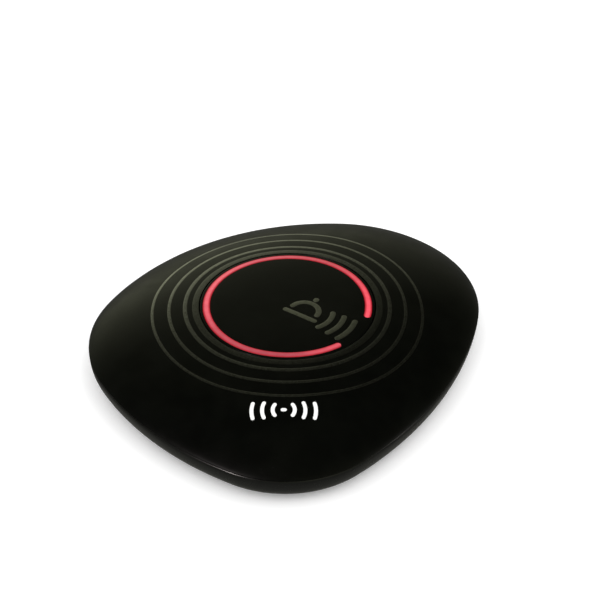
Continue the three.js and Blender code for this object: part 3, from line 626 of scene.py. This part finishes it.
for i, (x, y) in enumerate(screw_places, 1):
    screw = turned(f"self_tapping_screw_{i}", screw_profile, x, y, 40)
    for turn in (0.0, pi / 2):
        cross = bar_outline(cross_length, cross_width, x, y, turn, 4)
        shape_with(screw, prism("cross_cut", cross, head_low - 1, head_low + cross_depth))
    fit_piece(screw, "case", "screw_steel", zinc, f"case_screw_{i}")

# ---- cell, contacts and door seal
# A lithium coin cell in its nickel-plated can lies in the bay. One bowed leaf and one upright strip of plated
# spring bronze carry its current. The door's O-ring is moulded rubber, stretched into its groove.
def dress(finish, *nodes):
    """Gives CAD pieces that keep their own shape a finish."""
    for name in nodes:
        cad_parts[name].data.materials.clear()
        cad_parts[name].data.materials.append(finish)


def cell_can(name):
    """Nickel-plated can, ground in circles about the cell's middle."""
    made, tree = new_finish(name, Metallic=1.0)
    place = place_in_mm(tree)
    away = vector(tree, "DISTANCE", place, tuple(press_axis / MM))["Value"]
    given = {"W": away, "Scale": 7.0, "Detail": 3.0}
    rings = add_node(tree, "TexNoise", given, noise_dimensions="1D").outputs[0]
    marks = use_effect(tree, handling_marks, Amount=0.9)
    colour = blend_colours(tree, spread(tree, rings, 0.3, 0.7), (0.5, 0.5, 0.49), (0.68, 0.68, 0.67))
    colour = blend_colours(tree, marks["Smudge"], colour, (0.4, 0.38, 0.34))
    return finish_with(made, colour, rings, (0.24, 0.36), rings, 0.3, 0.005)


dress(cell_can("cell_can_nickel"), "coin_cell")
dress(plated_metal("spring_bronze_nickel", (0.62, 0.6, 0.54), (0.46, 0.44, 0.38), 0.3),
      "cell_contact_minus", "cell_contact_plus")
dress(rubber("seal_rubber", (0.016, 0.016, 0.017), 0.7), "door_seal")

# ---- key web
# The silicone web that keeps drinks out round the key is one moulding, built as three pieces. Its flange is
# clamped under the cover's collar, its fold stays with the case, and its flat goes down with the key's lip.
KEY_TRAVEL = 0.6
FLANGE_RADII = (22.5, 24.2)
HEM_RADIUS = 22.68
HEM_SLACK = 0.5
FOLD_RADII = (22.42, 22.48)
FLAT_RADII = (20.35, 22.4)
FLAT_THICKNESS = 0.2


def silicone(name):
    """Milky grey silicone: a little light goes through it, and it picks up lint."""
    made, tree = new_finish(name, Subsurface_Weight=0.25, Subsurface_Scale=0.0008)
    skin_marks = use_effect(tree, moulded_grain, Grains_per_mm=5.0)
    specks = use_effect(tree, settled_dust, Amount=0.8, Specks_per_mm=0.9)["Mask"]
    drift = spread(tree, skin_marks["Tone"], 0.3, 0.7)
    colour = blend_colours(tree, drift, (0.2, 0.21, 0.21), (0.34, 0.35, 0.34))
    colour = blend_colours(tree, specks, colour, (0.6, 0.58, 0.54))
    return finish_with(made, colour, skin_marks["Tone"], (0.5, 0.66), skin_marks["Height"], 0.5, 0.01)


def hoop(name, corners):
    """A round body through (radius, level) corners, outwards along its bottom and back along its top."""
    return form(name, *skin(round_rings(corners), loop=True))


def square_hoop(name, radii, low, high):
    return hoop(name, [(radii[0], low), (radii[1], low), (radii[1], high), (radii[0], high)])


web_silicone = silicone("key_web_silicone")
web_low, web_high = (corner.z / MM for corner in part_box("press_seal"))
fold_low = web_high - KEY_TRAVEL - HEM_SLACK
flange_inner, flange_outer = FLANGE_RADII
web_flange = hoop("key_web_flange", [
    (flange_inner, fold_low), (HEM_RADIUS, fold_low), (HEM_RADIUS, web_low),
    (flange_outer, web_low), (flange_outer, web_high), (flange_inner, web_high),
])
web_flat = square_hoop("key_web_flat", FLAT_RADII, web_high - FLAT_THICKNESS, web_high)
web_fold = square_hoop("key_web_fold", FOLD_RADII, fold_low, web_high)
fit_piece(web_flange, "case", "silicone", web_silicone, "press_seal")
fit_piece(web_flat, "press_key", "silicone", web_silicone)
fit_piece(web_fold, "case", "silicone", web_silicone)
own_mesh(web_fold)

# ---- circuit board
# Green solder mask over copper on glass-epoxy board, with the switch, the transmitter's chips in black epoxy,
# a canned crystal, six red lamps, and a springy antenna of enamelled copper wire under its front.
def solder_mask(name):
    """Green mask with the copper traces under it showing lighter, in straight runs both ways."""
    made, tree = new_finish(name, Coat_Weight=0.3, Coat_Roughness=0.2)
    place = place_in_mm(tree)
    traces = 0.0
    for axis, other, pitch in ((0, 1, 1.9), (1, 0, 2.3)):
        lane = calculate(tree, "PINGPONG", parts_of(tree, place)[axis], pitch / 2)
        patch = add_node(tree, "TexVoronoi", {"Vector": place, "Scale": 0.11 + 0.03 * axis}).outputs["Color"]
        used = spread(tree, add_node(tree, "SeparateColor", {0: patch}).outputs[other], 0.45, 0.5)
        line = calculate(tree, "MULTIPLY", spread(tree, lane, 0.22, 0.16), used)
        traces = calculate(tree, "MAXIMUM", traces, line)
    weave = add_node(tree, "TexChecker", {"Vector": place, "Scale": 2.2}).outputs["Fac"]
    colour = blend_colours(tree, noise(tree, place, 0.4), (0.006, 0.05, 0.02), (0.01, 0.075, 0.03))
    colour = blend_colours(tree, traces, colour, (0.03, 0.16, 0.06))
    colour = blend_colours(tree, calculate(tree, "MULTIPLY", weave, 0.12), colour, (0.02, 0.1, 0.05))
    height = calculate(tree, "MULTIPLY_ADD", weave, 0.15, traces)
    return finish_with(made, colour, noise(tree, place, 1.2), (0.3, 0.44), height, 0.6, 0.03)


def chip_epoxy(name):
    """Moulded black epoxy, speckled with its silica filler."""
    made, tree = new_finish(name)
    place = place_in_mm(tree)
    filler = spread(tree, noise(tree, place, 11.0, 2.0), 0.55, 0.7)
    colour = blend_colours(tree, filler, (0.012, 0.012, 0.013), (0.045, 0.045, 0.047))
    return finish_with(made, colour, noise(tree, place, 3.0), (0.48, 0.64), filler, 0.5, 0.01)


def white_plastic(name):
    """White moulded plastic with faint flow marks and a fine texture."""
    made, tree = new_finish(name, Subsurface_Weight=0.1, Subsurface_Scale=0.001)
    skin_marks = use_effect(tree, moulded_grain, Grains_per_mm=4.0)
    flow = noise(tree, stretched(tree, place_in_mm(tree), 15, 0.08, 0.4), 1.0, 4.0)
    colour = blend_colours(tree, spread(tree, flow, 0.35, 0.65), (0.74, 0.74, 0.7), (0.83, 0.83, 0.81))
    return finish_with(made, colour, skin_marks["Tone"], (0.4, 0.54), skin_marks["Height"], 0.4, 0.01)


def lamp_resin(name):
    """Water-clear resin over a red chip: pale red, and glowing red, in soft clouds."""
    made, tree = new_finish(name, Emission_Strength=1.5, Coat_Weight=0.4)
    place = place_in_mm(tree)
    cloud = spread(tree, noise(tree, place, 1.1, 4.0), 0.35, 0.65)
    colour = blend_colours(tree, cloud, (0.75, 0.16, 0.12), (0.85, 0.4, 0.32))
    glow = blend_colours(tree, cloud, (0.9, 0.03, 0.05), (1.0, 0.12, 0.12))
    feed(tree, Emission_Color=glow)
    return finish_with(made, colour, noise(tree, place, 4.0), (0.18, 0.32), cloud, 0.3, 0.01)


dress(solder_mask("green_solder_mask"), "circuit_board")
dress(chip_epoxy("black_epoxy"), "controller_chip", "radio_chip", "storage_capacitor", "switch_body")
dress(white_plastic("white_moulding"), "light_shroud", "press_stem", "switch_plunger")
dress(lamp_resin("red_lamp_resin"), *[f"led_{i}" for i in range(1, 7)])
dress(plated_metal("crystal_can_nickel", (0.64, 0.65, 0.66), (0.5, 0.5, 0.51), 0.28), "crystal_can")
dress(plated_metal("enamelled_copper", (0.75, 0.36, 0.16), (0.55, 0.24, 0.1), 0.26, 2.0), "antenna_coil")

# ---- top cover
# The domed upper half of the housing, moulded in satin black ABS. A round opening with a softened lip takes
# the press key, a collar under it guides the key's rim, and three bosses take the screws.
DOME_BOW = 2.98
DOME_SHOULDER = 0.82
ROOF = 1.8
OPENING_RADIUS = 20.4
OPENING_LIP = 0.22
COLLAR = (22.7, 24.2)
COLLAR_LEVELS = (12.41, 13.51)
BOSS_RADIUS = 2.9
BOSS_SINK = 1.0
BOSS_BORE = 1.15
BOSS_BORE_SPARE = 0.3
COVER_EDGE = 0.08
dome_rise = key_high.z / MM - edge_level


def dome_level(share, rise):
    """Height of a dome where it has drawn in to a share of the outline."""
    return edge_level + rise * (1 - np.clip(share, 0, 1) ** DOME_BOW) ** DOME_SHOULDER


compass = np.arctan2(outline[:, 1], outline[:, 0])


def dome_at(x, y):
    """Height of the outer dome over any place, from the outline's reach in that direction."""
    there = np.interp(np.arctan2(y, x), compass, reach, period=tau)
    return dome_level(np.hypot(x, y) / there, dome_rise)


def ring_on(ground, radius, below_it=0.0):
    """A round ring that follows a dome."""
    ring = round_ring(0, radius)
    ring[:, 2] = ground(ring[:, 0], ring[:, 1]) - below_it
    return ring


def shares_from(least, steps):
    """Shares of the outline from the least to all of it, closer together towards the rim."""
    return [least + (1 - least) * (1 - (1 - t) ** 2) for t in np.linspace(0, 1, steps)]


cover_rings = []
for share in shares_from((OPENING_RADIUS + OPENING_LIP) / reach, 56):
    level = dome_level(share, dome_rise)
    cover_rings.append(at_level(outline * share[:, None], np.maximum(level, edge_level + COVER_EDGE)))
cover_rings += [outline_ring(edge_level + 0.02, 0.01), outline_ring(edge_level, COVER_EDGE)]
inner_outline = outline - WALL * facing
inner_reach = np.hypot(inner_outline[:, 0], inner_outline[:, 1])
for share in shares_from(COLLAR[1] / inner_reach, 20)[::-1]:
    cover_rings.append(at_level(inner_outline * share[:, None], dome_level(share, dome_rise - ROOF)))
collar_low, collar_high = COLLAR_LEVELS
cover_rings += round_rings([
    (COLLAR[1], collar_low), (COLLAR[0], collar_low), (COLLAR[0], collar_high), (OPENING_RADIUS, collar_high)
])
lip_edge = rounded(OPENING_LIP, OPENING_LIP, 6)[:-1]
cover_rings += [ring_on(dome_at, OPENING_RADIUS + out, down) for down, out in lip_edge]
top_cover = form("top_shell", *skin(cover_rings, loop=True))
for x, y in screw_places:
    roof = float(dome_at(x, y)) - BOSS_SINK
    shape_with(top_cover, peg("boss", BOSS_RADIUS, board_bottom, roof, x, y), "UNION")
    shape_with(top_cover, peg("boss_bore", BOSS_BORE, 0, screw_top + BOSS_BORE_SPARE, x, y, 32))

satin_black = black_plastic(
    "satin_black_abs", (0.0011, 0.0014, 0.0007), shine=0.36, grains=5.0, grain_depth=0.008,
    handled=0.45, dust=0.25, rubbed=0.25, specular=0.25,
)
fit_piece(top_cover, "case", "cover", satin_black, "top_cover")

# ---- press key
# The round key, moulded like the cover and following its dome. A rim under the collar keeps it in, and an
# open arc cut through it takes the light guide.
KEY_RADIUS = 20.2
KEY_EDGE = 0.2
RIM_RADIUS = 22.4
RIM_LEVELS = (12.41, 13.21)
HOLLOW_RADIUS = 19.1
SOCKET_RADIUS = 2.3
SOCKET_DEPTH = 1.25
SOCKET_SINK = 1.2
INK_HEIGHT = 0.02
END_STEPS = 7
ARC_RADIUS = 18.7
ARC_WIDTH = 1.6
ARC_FIT = 0.06
ARC_GAP_MIDDLE = -32.5
ARC_GAP = 41.0
ARC_CUT_SPARE = 0.2
ARC_CUT_TOP = 20.0
key_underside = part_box("press_stem")[1].z / MM - SOCKET_SINK


def on_key(x, y):
    return dome_at(x, y) - INK_HEIGHT


key_rings = [[(0, 0, float(on_key(0, 0)))]]
key_rings += [ring_on(on_key, radius) for radius in (0.6, *np.linspace(1.5, KEY_RADIUS - KEY_EDGE, 44))]
key_edge = rounded(KEY_EDGE, KEY_EDGE, 6)[1:]
key_rings += [ring_on(on_key, KEY_RADIUS - back, down) for back, down in key_edge]
rim_low, rim_high = RIM_LEVELS
key_rings += round_rings([
    (KEY_RADIUS, rim_high), (RIM_RADIUS, rim_high), (RIM_RADIUS, rim_low),
    (HOLLOW_RADIUS, rim_low), (HOLLOW_RADIUS, key_underside),
    (SOCKET_RADIUS, key_underside), (SOCKET_RADIUS, key_underside + SOCKET_DEPTH),
])
key_rings.append([(0, 0, key_underside + SOCKET_DEPTH)])
key_disc = form("key_disc", *skin(key_rings))


def along_arc(radius, start, end, steps, x=0.0, y=0.0):
    """Stations along an arc: place and the direction across it."""
    turns = np.radians(np.linspace(start, end, steps))
    rays = [(cos(t), sin(t)) for t in turns]
    return [((x + radius * ray[0], y + radius * ray[1]), ray) for ray in rays]


def along_line(x1, y1, x2, y2, steps=12):
    away = hypot(x2 - x1, y2 - y1)
    across = ((y1 - y2) / away, (x2 - x1) / away)
    return [((x1 + (x2 - x1) * t, y1 + (y2 - y1) * t), across) for t in np.linspace(0, 1, steps)]


def half_circle(end, neighbour, half):
    """Stations of the half circle that ends a stroke, from its tip inwards."""
    (x, y), across = end
    (nx, ny), _ = neighbour
    away = hypot(x - nx, y - ny)
    ux, uy = (x - nx) / away, (y - ny) / away
    turns = (np.arange(END_STEPS) + 0.35) / END_STEPS * pi / 2
    outs = [half * cos(t) for t in turns]
    return [((x + ux * out, y + uy * out), across, half * sin(t)) for out, t in zip(outs, turns)]


def round_ended(stations, width):
    """Stations with their half widths, drawn out into a half circle at each end."""
    half = width / 2
    middle = [(place, across, half) for place, across in stations]
    return half_circle(*stations[:2], half) + middle + half_circle(*stations[:-3:-1], half)[::-1]


def band(stations, section, ground):
    """Rings of a band swept through its stations. Its section is (across, height, follows the ground)."""
    rings = []
    for (x, y), (ax, ay), half in stations:
        ring = []
        for share, height, follows in section:
            px, py = x + ax * half * share, y + ay * half * share
            ring.append((px, py, float(ground(px, py)) + height if follows else height))
        rings.append(ring)
    return rings


def capped(rings):
    middle = [[tuple(np.mean(ring, axis=0))] for ring in (rings[0], rings[-1])]
    return skin([middle[0], *rings, middle[1]])


arc_from = ARC_GAP_MIDDLE + ARC_GAP / 2
arc_to = ARC_GAP_MIDDLE - ARC_GAP / 2 + 360
arc_line = along_arc(ARC_RADIUS, arc_from, arc_to, 220)
cut_low, cut_width = key_underside - ARC_CUT_SPARE, ARC_WIDTH + 2 * ARC_FIT
cut_section = [(-1, cut_low, False), (1, cut_low, False), (1, ARC_CUT_TOP, False), (-1, ARC_CUT_TOP, False)]
shape_with(key_disc, form("arc_slot", *capped(band(round_ended(arc_line, cut_width), cut_section, on_key))))
key_black = black_plastic(
    "key_satin_black_abs", (0.0012, 0.0015, 0.0008), shine=0.38, grains=5.0, grain_depth=0.008,
    handled=0.7, dust=0.2, rubbed=0.2, specular=0.2,
)
fit_piece(key_disc, "press_key", "disc", key_black, "press_disc")

# ---- light guide
# The lit arc: translucent red polycarbonate with round ends, on a flat flange under the key. Six lamps below
# make it brighter at its right-hand end and left side than at its front and back.
FLANGE = (16.3, 19.0)
FLANGE_LEVELS = (13.01, 13.86)
FLANGE_BITE = 0.3
ARC_EDGE = [(-1.0, -0.13), (-0.95, -0.05), (-0.84, -0.005)]
ARC_CROWN = 0.015
guide_section = [(-1, FLANGE_LEVELS[1] - FLANGE_BITE, False)]
guide_section += [(share, height, True) for share, height in ARC_EDGE]
guide_section += [(share, ARC_CROWN * (1 - share**2), True) for share in (-0.6, -0.3, 0.0, 0.3, 0.6)]
guide_section += [(-share, height, True) for share, height in ARC_EDGE[::-1]]
guide_section += [(1, FLANGE_LEVELS[1] - FLANGE_BITE, False)]
light_guide = form("arc_light_guide", *capped(band(round_ended(arc_line, ARC_WIDTH), guide_section, on_key)))
shape_with(light_guide, square_hoop("guide_flange", FLANGE, *FLANGE_LEVELS), "UNION")


def red_light_guide(name):
    """Red polycarbonate lit from below. Its glow varies round the arc, and is hottest mid-width."""
    made, tree = new_finish(name, IOR=1.58, Specular_IOR_Level=0.3, Emission_Strength=1.0)
    place = vector(tree, "SUBTRACT", place_in_mm(tree), tuple(press_axis / MM))[0]
    apart = parts_of(tree, place)
    angle = calculate(tree, "ARCTAN2", apart[1], apart[0])
    out = vector(tree, "LENGTH", vector(tree, "MULTIPLY", place, (1, 1, 0))[0])["Value"]
    share = calculate(tree, "MULTIPLY_ADD", angle, 1 / tau, 0.5)
    bright = add_node(tree, "ValToRGB", {"Fac": share})
    ramp = bright.color_ramp
    ramp.interpolation = "EASE"
    colours = [(-180, (0.66, 0.12, 0.15)), (-140, (0.34, 0.066, 0.082)), (-90, (0.26, 0.058, 0.075)),
               (-60, (0.56, 0.085, 0.11)), (-5, (0.86, 0.088, 0.125)), (60, (0.38, 0.07, 0.082)),
               (110, (0.47, 0.095, 0.12)), (150, (0.68, 0.13, 0.155)), (180, (0.66, 0.12, 0.15))]
    ramp.elements.remove(ramp.elements[1])
    ramp.elements[0].color = (*colours[0][1], 1)
    for towards, colour in colours[1:]:
        ramp.elements.new(towards / 360 + 0.5).color = (*colour, 1)
    across = calculate(tree, "ABSOLUTE", calculate(tree, "SUBTRACT", out, ARC_RADIUS))
    core = spread(tree, across, 0.74, 0.22)
    cloud = spread(tree, noise(tree, place, 0.7, 5.0), 0.3, 0.7, 0.9, 1.06)
    glow = scaled(tree, blend_colours(tree, core, (0.26, 0.002, 0.008), bright.outputs[0]), cloud)
    colour = blend_colours(tree, cloud, (0.1, 0.006, 0.01), (0.2, 0.014, 0.022))
    feed(tree, Emission_Color=glow)
    relief = noise(tree, place, 3.0)
    return finish_with(made, colour, noise(tree, place, 1.8), (0.26, 0.4), relief, 0.3, 0.006)


fit_piece(light_guide, "press_key", "lit_arc", red_light_guide("lit_red_polycarbonate"), "light_ring")

# ---- printed rings
# Four fine rings pad-printed round the key in grey-green pearl ink, the widest hugging the opening. The ink
# is a film that follows the dome, and it is brightest where it looks towards the light.
RING_PRINTS = [(21.2, 1.5), (23.61, 0.95), (27.3, 0.76), (31.2, 0.66)]
INK_BITE = 0.05
INK_EDGE = [(-1.0, -INK_BITE), (-1.0, 0.0), (-0.86, 0.7 * INK_HEIGHT), (-0.5, INK_HEIGHT)]
ink_section = [(share, height, True) for share, height in [*INK_EDGE, (0.0, INK_HEIGHT)]]
ink_section += [(-share, height, True) for share, height in INK_EDGE[::-1]]


def pearl_ink(name, bright, dull, roughness):
    """Screened ink with metal flake: thin and duller in places."""
    made, tree = new_finish(name, Metallic=1.0)
    place = place_in_mm(tree)
    flake = noise(tree, place, 14.0, 2.0)
    thin = spread(tree, noise(tree, place, 1.3, 5.0, 0.65), 0.3, 0.62)
    colour = blend_colours(tree, thin, dull, bright)
    return finish_with(made, colour, flake, (roughness - 0.07, roughness + 0.07), flake, 0.5, 0.006)


ring_ink = pearl_ink("grey_green_pearl_ink", (0.32, 0.325, 0.315), (0.235, 0.24, 0.23), 0.27)
wide_ring_ink = pearl_ink("thin_pearl_ink", (0.19, 0.193, 0.184), (0.14, 0.143, 0.136), 0.29)
for i, (radius, width) in enumerate(RING_PRINTS, 1):
    stations = [(place, across, width / 2) for place, across in along_arc(radius, 0, 360, 361)[:-1]]
    printed = form(f"ring_print_{i}", *skin(band(stations, ink_section, dome_at), loop=True))
    fit_piece(printed, "case", "cover", wide_ring_ink if i == 1 else ring_ink)

# ---- printed pictograms
# A ringing service bell in dim grey-green ink lies slantwise on the key, through the gap in the arc, and a
# small white wave sign for the radio stands in front of the rings. Both are pad-printed films of ink.
BELL_TURN = -34.0
BELL_START = 0.4
BELL_STROKE = 1.3
BELL_MIDDLE = (4.6, -0.5)
BELL_BASE = -2.3
BELL_RADIUS = 3.3
BELL_KNOB = (4.3, 4.6)
BELL_BRIM = 3.9
BELL_RINGING = [(6.6, 28), (9.3, 22), (12.0, 18)]
WAVE_PLACE = (-0.8, -35.0)
WAVE_STROKE = 0.85
WAVE_DOT = 0.25
WAVES = [(2.4, 36), (4.7, 24), (7.0, 16)]


def print_mark(name, strokes, width, ground, turn, x, y):
    """One closed film of ink for each stroke, laid on the ground and joined into one print."""
    ct, st = cos(radians(turn)), sin(radians(turn))
    points, faces = np.zeros((0, 3)), []
    for line in strokes:
        placed = [((x + px * ct - py * st, y + px * st + py * ct), (ax * ct - ay * st, ax * st + ay * ct))
                  for (px, py), (ax, ay) in line]
        more, more_faces = capped(band(round_ended(placed, width), ink_section, ground))
        faces += [[len(points) + c for c in face] for face in more_faces]
        points = np.vstack([points, more])
    return form(name, points, faces)


bell_x = BELL_MIDDLE[0]
bell_strokes = [
    along_line(bell_x - BELL_BRIM, BELL_BASE, bell_x + BELL_BRIM, BELL_BASE, 20),
    along_arc(BELL_RADIUS, 4, 176, 50, *BELL_MIDDLE),
    along_line(bell_x, BELL_KNOB[0], bell_x, BELL_KNOB[1], 3),
]
bell_strokes += [along_arc(radius, -half, half, 24, *BELL_MIDDLE) for radius, half in BELL_RINGING]
bell_ink = pearl_ink("bell_pearl_ink", (0.5, 0.51, 0.46), (0.37, 0.38, 0.34), 0.36)
slant = radians(BELL_TURN)
bell_place = (BELL_START * cos(slant), BELL_START * sin(slant))
bell = print_mark("bell_print", bell_strokes, BELL_STROKE, on_key, BELL_TURN, *bell_place)
fit_piece(bell, "press_key", "disc", bell_ink)

wave_strokes = [along_line(-WAVE_DOT, 0, WAVE_DOT, 0, 4)]
for radius, half in WAVES:
    wave_strokes += [along_arc(radius, side - half, side + half, 20) for side in (0, 180)]


def white_ink(name):
    """Opaque white screen ink, worn thin and grey in patches."""
    made, tree = new_finish(name, Specular_IOR_Level=0.4)
    place = place_in_mm(tree)
    worn = spread(tree, noise(tree, place, 2.2, 5.0, 0.7), 0.3, 0.5)
    colour = blend_colours(tree, worn, (0.68, 0.68, 0.66), (0.86, 0.86, 0.84))
    return finish_with(made, colour, noise(tree, place, 6.0), (0.45, 0.6), worn, 0.3, 0.006)


wave = print_mark("wave_print", wave_strokes, WAVE_STROKE, dome_at, 0, *WAVE_PLACE)
fit_piece(wave, "case", "cover", white_ink("white_screen_ink"))

# ---- table top
# A wide pale card, slightly self-lit so that it comes out evenly white. Shiny pieces mirror it as an even dim
# glow, matt ones take no light from it, and from below it is clear.
TABLE_RADIUS = 4.0
TABLE_SIDES = 96
turns = np.arange(TABLE_SIDES) * tau / TABLE_SIDES
table_points = [(0, 0, 0)] + [(TABLE_RADIUS * cos(t), TABLE_RADIUS * sin(t), 0) for t in turns]
table_mesh = bpy.data.meshes.new("table_top")
table_faces = [(0, i + 1, (i + 1) % TABLE_SIDES + 1) for i in range(TABLE_SIDES)]
table_mesh.from_pydata(table_points, [], table_faces)
table_top = bpy.data.objects.new("table_top", table_mesh)
bpy.context.scene.collection.objects.link(table_top)
table_finish, tree = new_finish("pale_card", Roughness=0.9, Specular_IOR_Level=0.1, Emission_Strength=0.18)
card = spread(tree, noise(tree, place_in_mm(tree), 0.02, 6.0), 0.3, 0.7)
feed(tree, Base_Color=blend_colours(tree, card, (0.92, 0.92, 0.92), (0.94, 0.94, 0.94)))
pale_card = tree.nodes["Principled BSDF"].outputs[0]
seen = add_node(tree, "LightPath").outputs
dim_card = add_node(tree, "Emission", {"Color": (0.165, 0.165, 0.148, 1)}).outputs[0]
clear = add_node(tree, "BsdfTransparent").outputs[0]
from_above = add_node(tree, "MixShader", {0: seen["Is Glossy Ray"], 1: pale_card, 2: dim_card}).outputs[0]
from_below = add_node(tree, "NewGeometry").outputs["Backfacing"]
card_or_clear = add_node(tree, "MixShader", {0: from_below, 1: from_above, 2: clear}).outputs[0]
tree.links.new(card_or_clear, tree.nodes["Material Output"].inputs["Surface"])
table_finish.cycles.emission_sampling = "NONE"
table_mesh.materials.append(table_finish)
table_top.visible_diffuse = False

# ---- room
# What shiny pieces mirror is a dim greenish room with a pale horizon, a window behind at the left, a fainter
# wall in front at the right and a little light from above. The camera and matt pieces see plain white.
room = bpy.data.worlds.new("studio_room")
room.use_nodes = True
tree = room.node_tree
tree.nodes.clear()
ROOM_COLOUR = (0.97, 1.0, 0.7, 1)
ROOM_BRIGHTNESS = 0.006
HORIZON_BRIGHTNESS = 0.09
HORIZON_FOCUS = 16.0
WINDOW = ((-0.32, 0.947, 0.0), 8.0, 0.7)
FRONT_WALL = ((0.55, -0.835, 0.0), 4.0, 0.4)
CEILING = ((0.0, 0.0, 1.0), 16.0, 0.07)
looking = add_node(tree, "TexCoord").outputs["Generated"]
height = parts_of(tree, looking)[2]
height = calculate(tree, "MULTIPLY", calculate(tree, "MULTIPLY", height, height), -HORIZON_FOCUS)
horizon = calculate(tree, "EXPONENT", height)
glow = calculate(tree, "MULTIPLY_ADD", horizon, HORIZON_BRIGHTNESS, ROOM_BRIGHTNESS)
for direction, focus, brightness in (WINDOW, FRONT_WALL, CEILING):
    towards = vector(tree, "DOT_PRODUCT", looking, direction)["Value"]
    falling = calculate(tree, "EXPONENT", calculate(tree, "MULTIPLY_ADD", towards, focus, -focus))
    glow = calculate(tree, "MULTIPLY_ADD", falling, brightness, glow)
shine = add_node(tree, "Background", {"Color": ROOM_COLOUR, "Strength": glow}).outputs[0]
white = add_node(tree, "Background", {"Color": (1, 1, 1, 1)}).outputs[0]
seen = add_node(tree, "LightPath").outputs
matt_or_direct = calculate(tree, "MAXIMUM", seen["Is Camera Ray"], seen["Is Diffuse Ray"])
surround = add_node(tree, "MixShader", {0: matt_or_direct, 1: shine, 2: white}).outputs[0]
tree.links.new(surround, add_node(tree, "OutputWorld").inputs["Surface"])
room.cycles.sampling_method = "NONE"
bpy.context.scene.world = room
bpy.context.scene.view_settings.view_transform = "Standard"

# ---- lights
# Two ceiling panels light the prints and the card without showing in the shine. Two small lamps, low at the
# left and right, draw the streak and the gleam along the rounded shoulder and light nothing matt.
def soft_light(name, azimuth, elevation, distance, size, power, colour):
    """A square soft light that looks at the object. Azimuth 0 is the camera's side, and 90 the right."""
    a, e = radians(azimuth), radians(elevation)
    away = Vector((sin(a) * cos(e), -cos(a) * cos(e), sin(e)))
    lamp = bpy.data.lights.new(name, "AREA")
    lamp.size, lamp.energy, lamp.color = size, power, colour
    holder = bpy.data.objects.new(name, lamp)
    holder.location = away * distance
    holder.rotation_mode = "QUATERNION"
    holder.rotation_quaternion = away.to_track_quat("Z", "Y")
    bpy.context.scene.collection.objects.link(holder)
    return holder


for side in (-40, 60):
    overhead = soft_light(f"ceiling_light_{side}", side, 62, 1.2, 0.9, 2.6, (1.0, 0.99, 0.985))
    overhead.visible_glossy = False
streak = soft_light("streak_light", -48, 22, 0.8, 0.08, 2.2, (1.0, 0.91, 0.89))
streak.visible_diffuse = False
glint = soft_light("glint_light", 86, 10, 0.8, 0.06, 0.2, (1.0, 0.97, 0.94))
glint.visible_diffuse = False

# ---- camera
# It looks level with the rows of the frame, from the front and above, at the middle of the key's top.
CAMERA_ELEVATION = 37.26
CAMERA_DISTANCE = 0.45
CAMERA_LENS = 118.8
CAMERA_SHIFT = (0.0145, 0.0144)
tilt = radians(CAMERA_ELEVATION)
aim = press_axis + Vector((0, 0, float(dome_at(ARC_RADIUS, 0)) * MM))
camera = bpy.data.objects.new("camera", bpy.data.cameras.new("camera"))
camera.data.lens = CAMERA_LENS
camera.data.sensor_width = 36
camera.data.shift_x, camera.data.shift_y = CAMERA_SHIFT
camera.data.clip_start = 0.01
camera.location = aim + CAMERA_DISTANCE * Vector((0, -cos(tilt), sin(tilt)))
camera.rotation_euler = (pi / 2 - tilt, 0, 0)
bpy.context.scene.collection.objects.link(camera)
bpy.context.scene.camera = camera
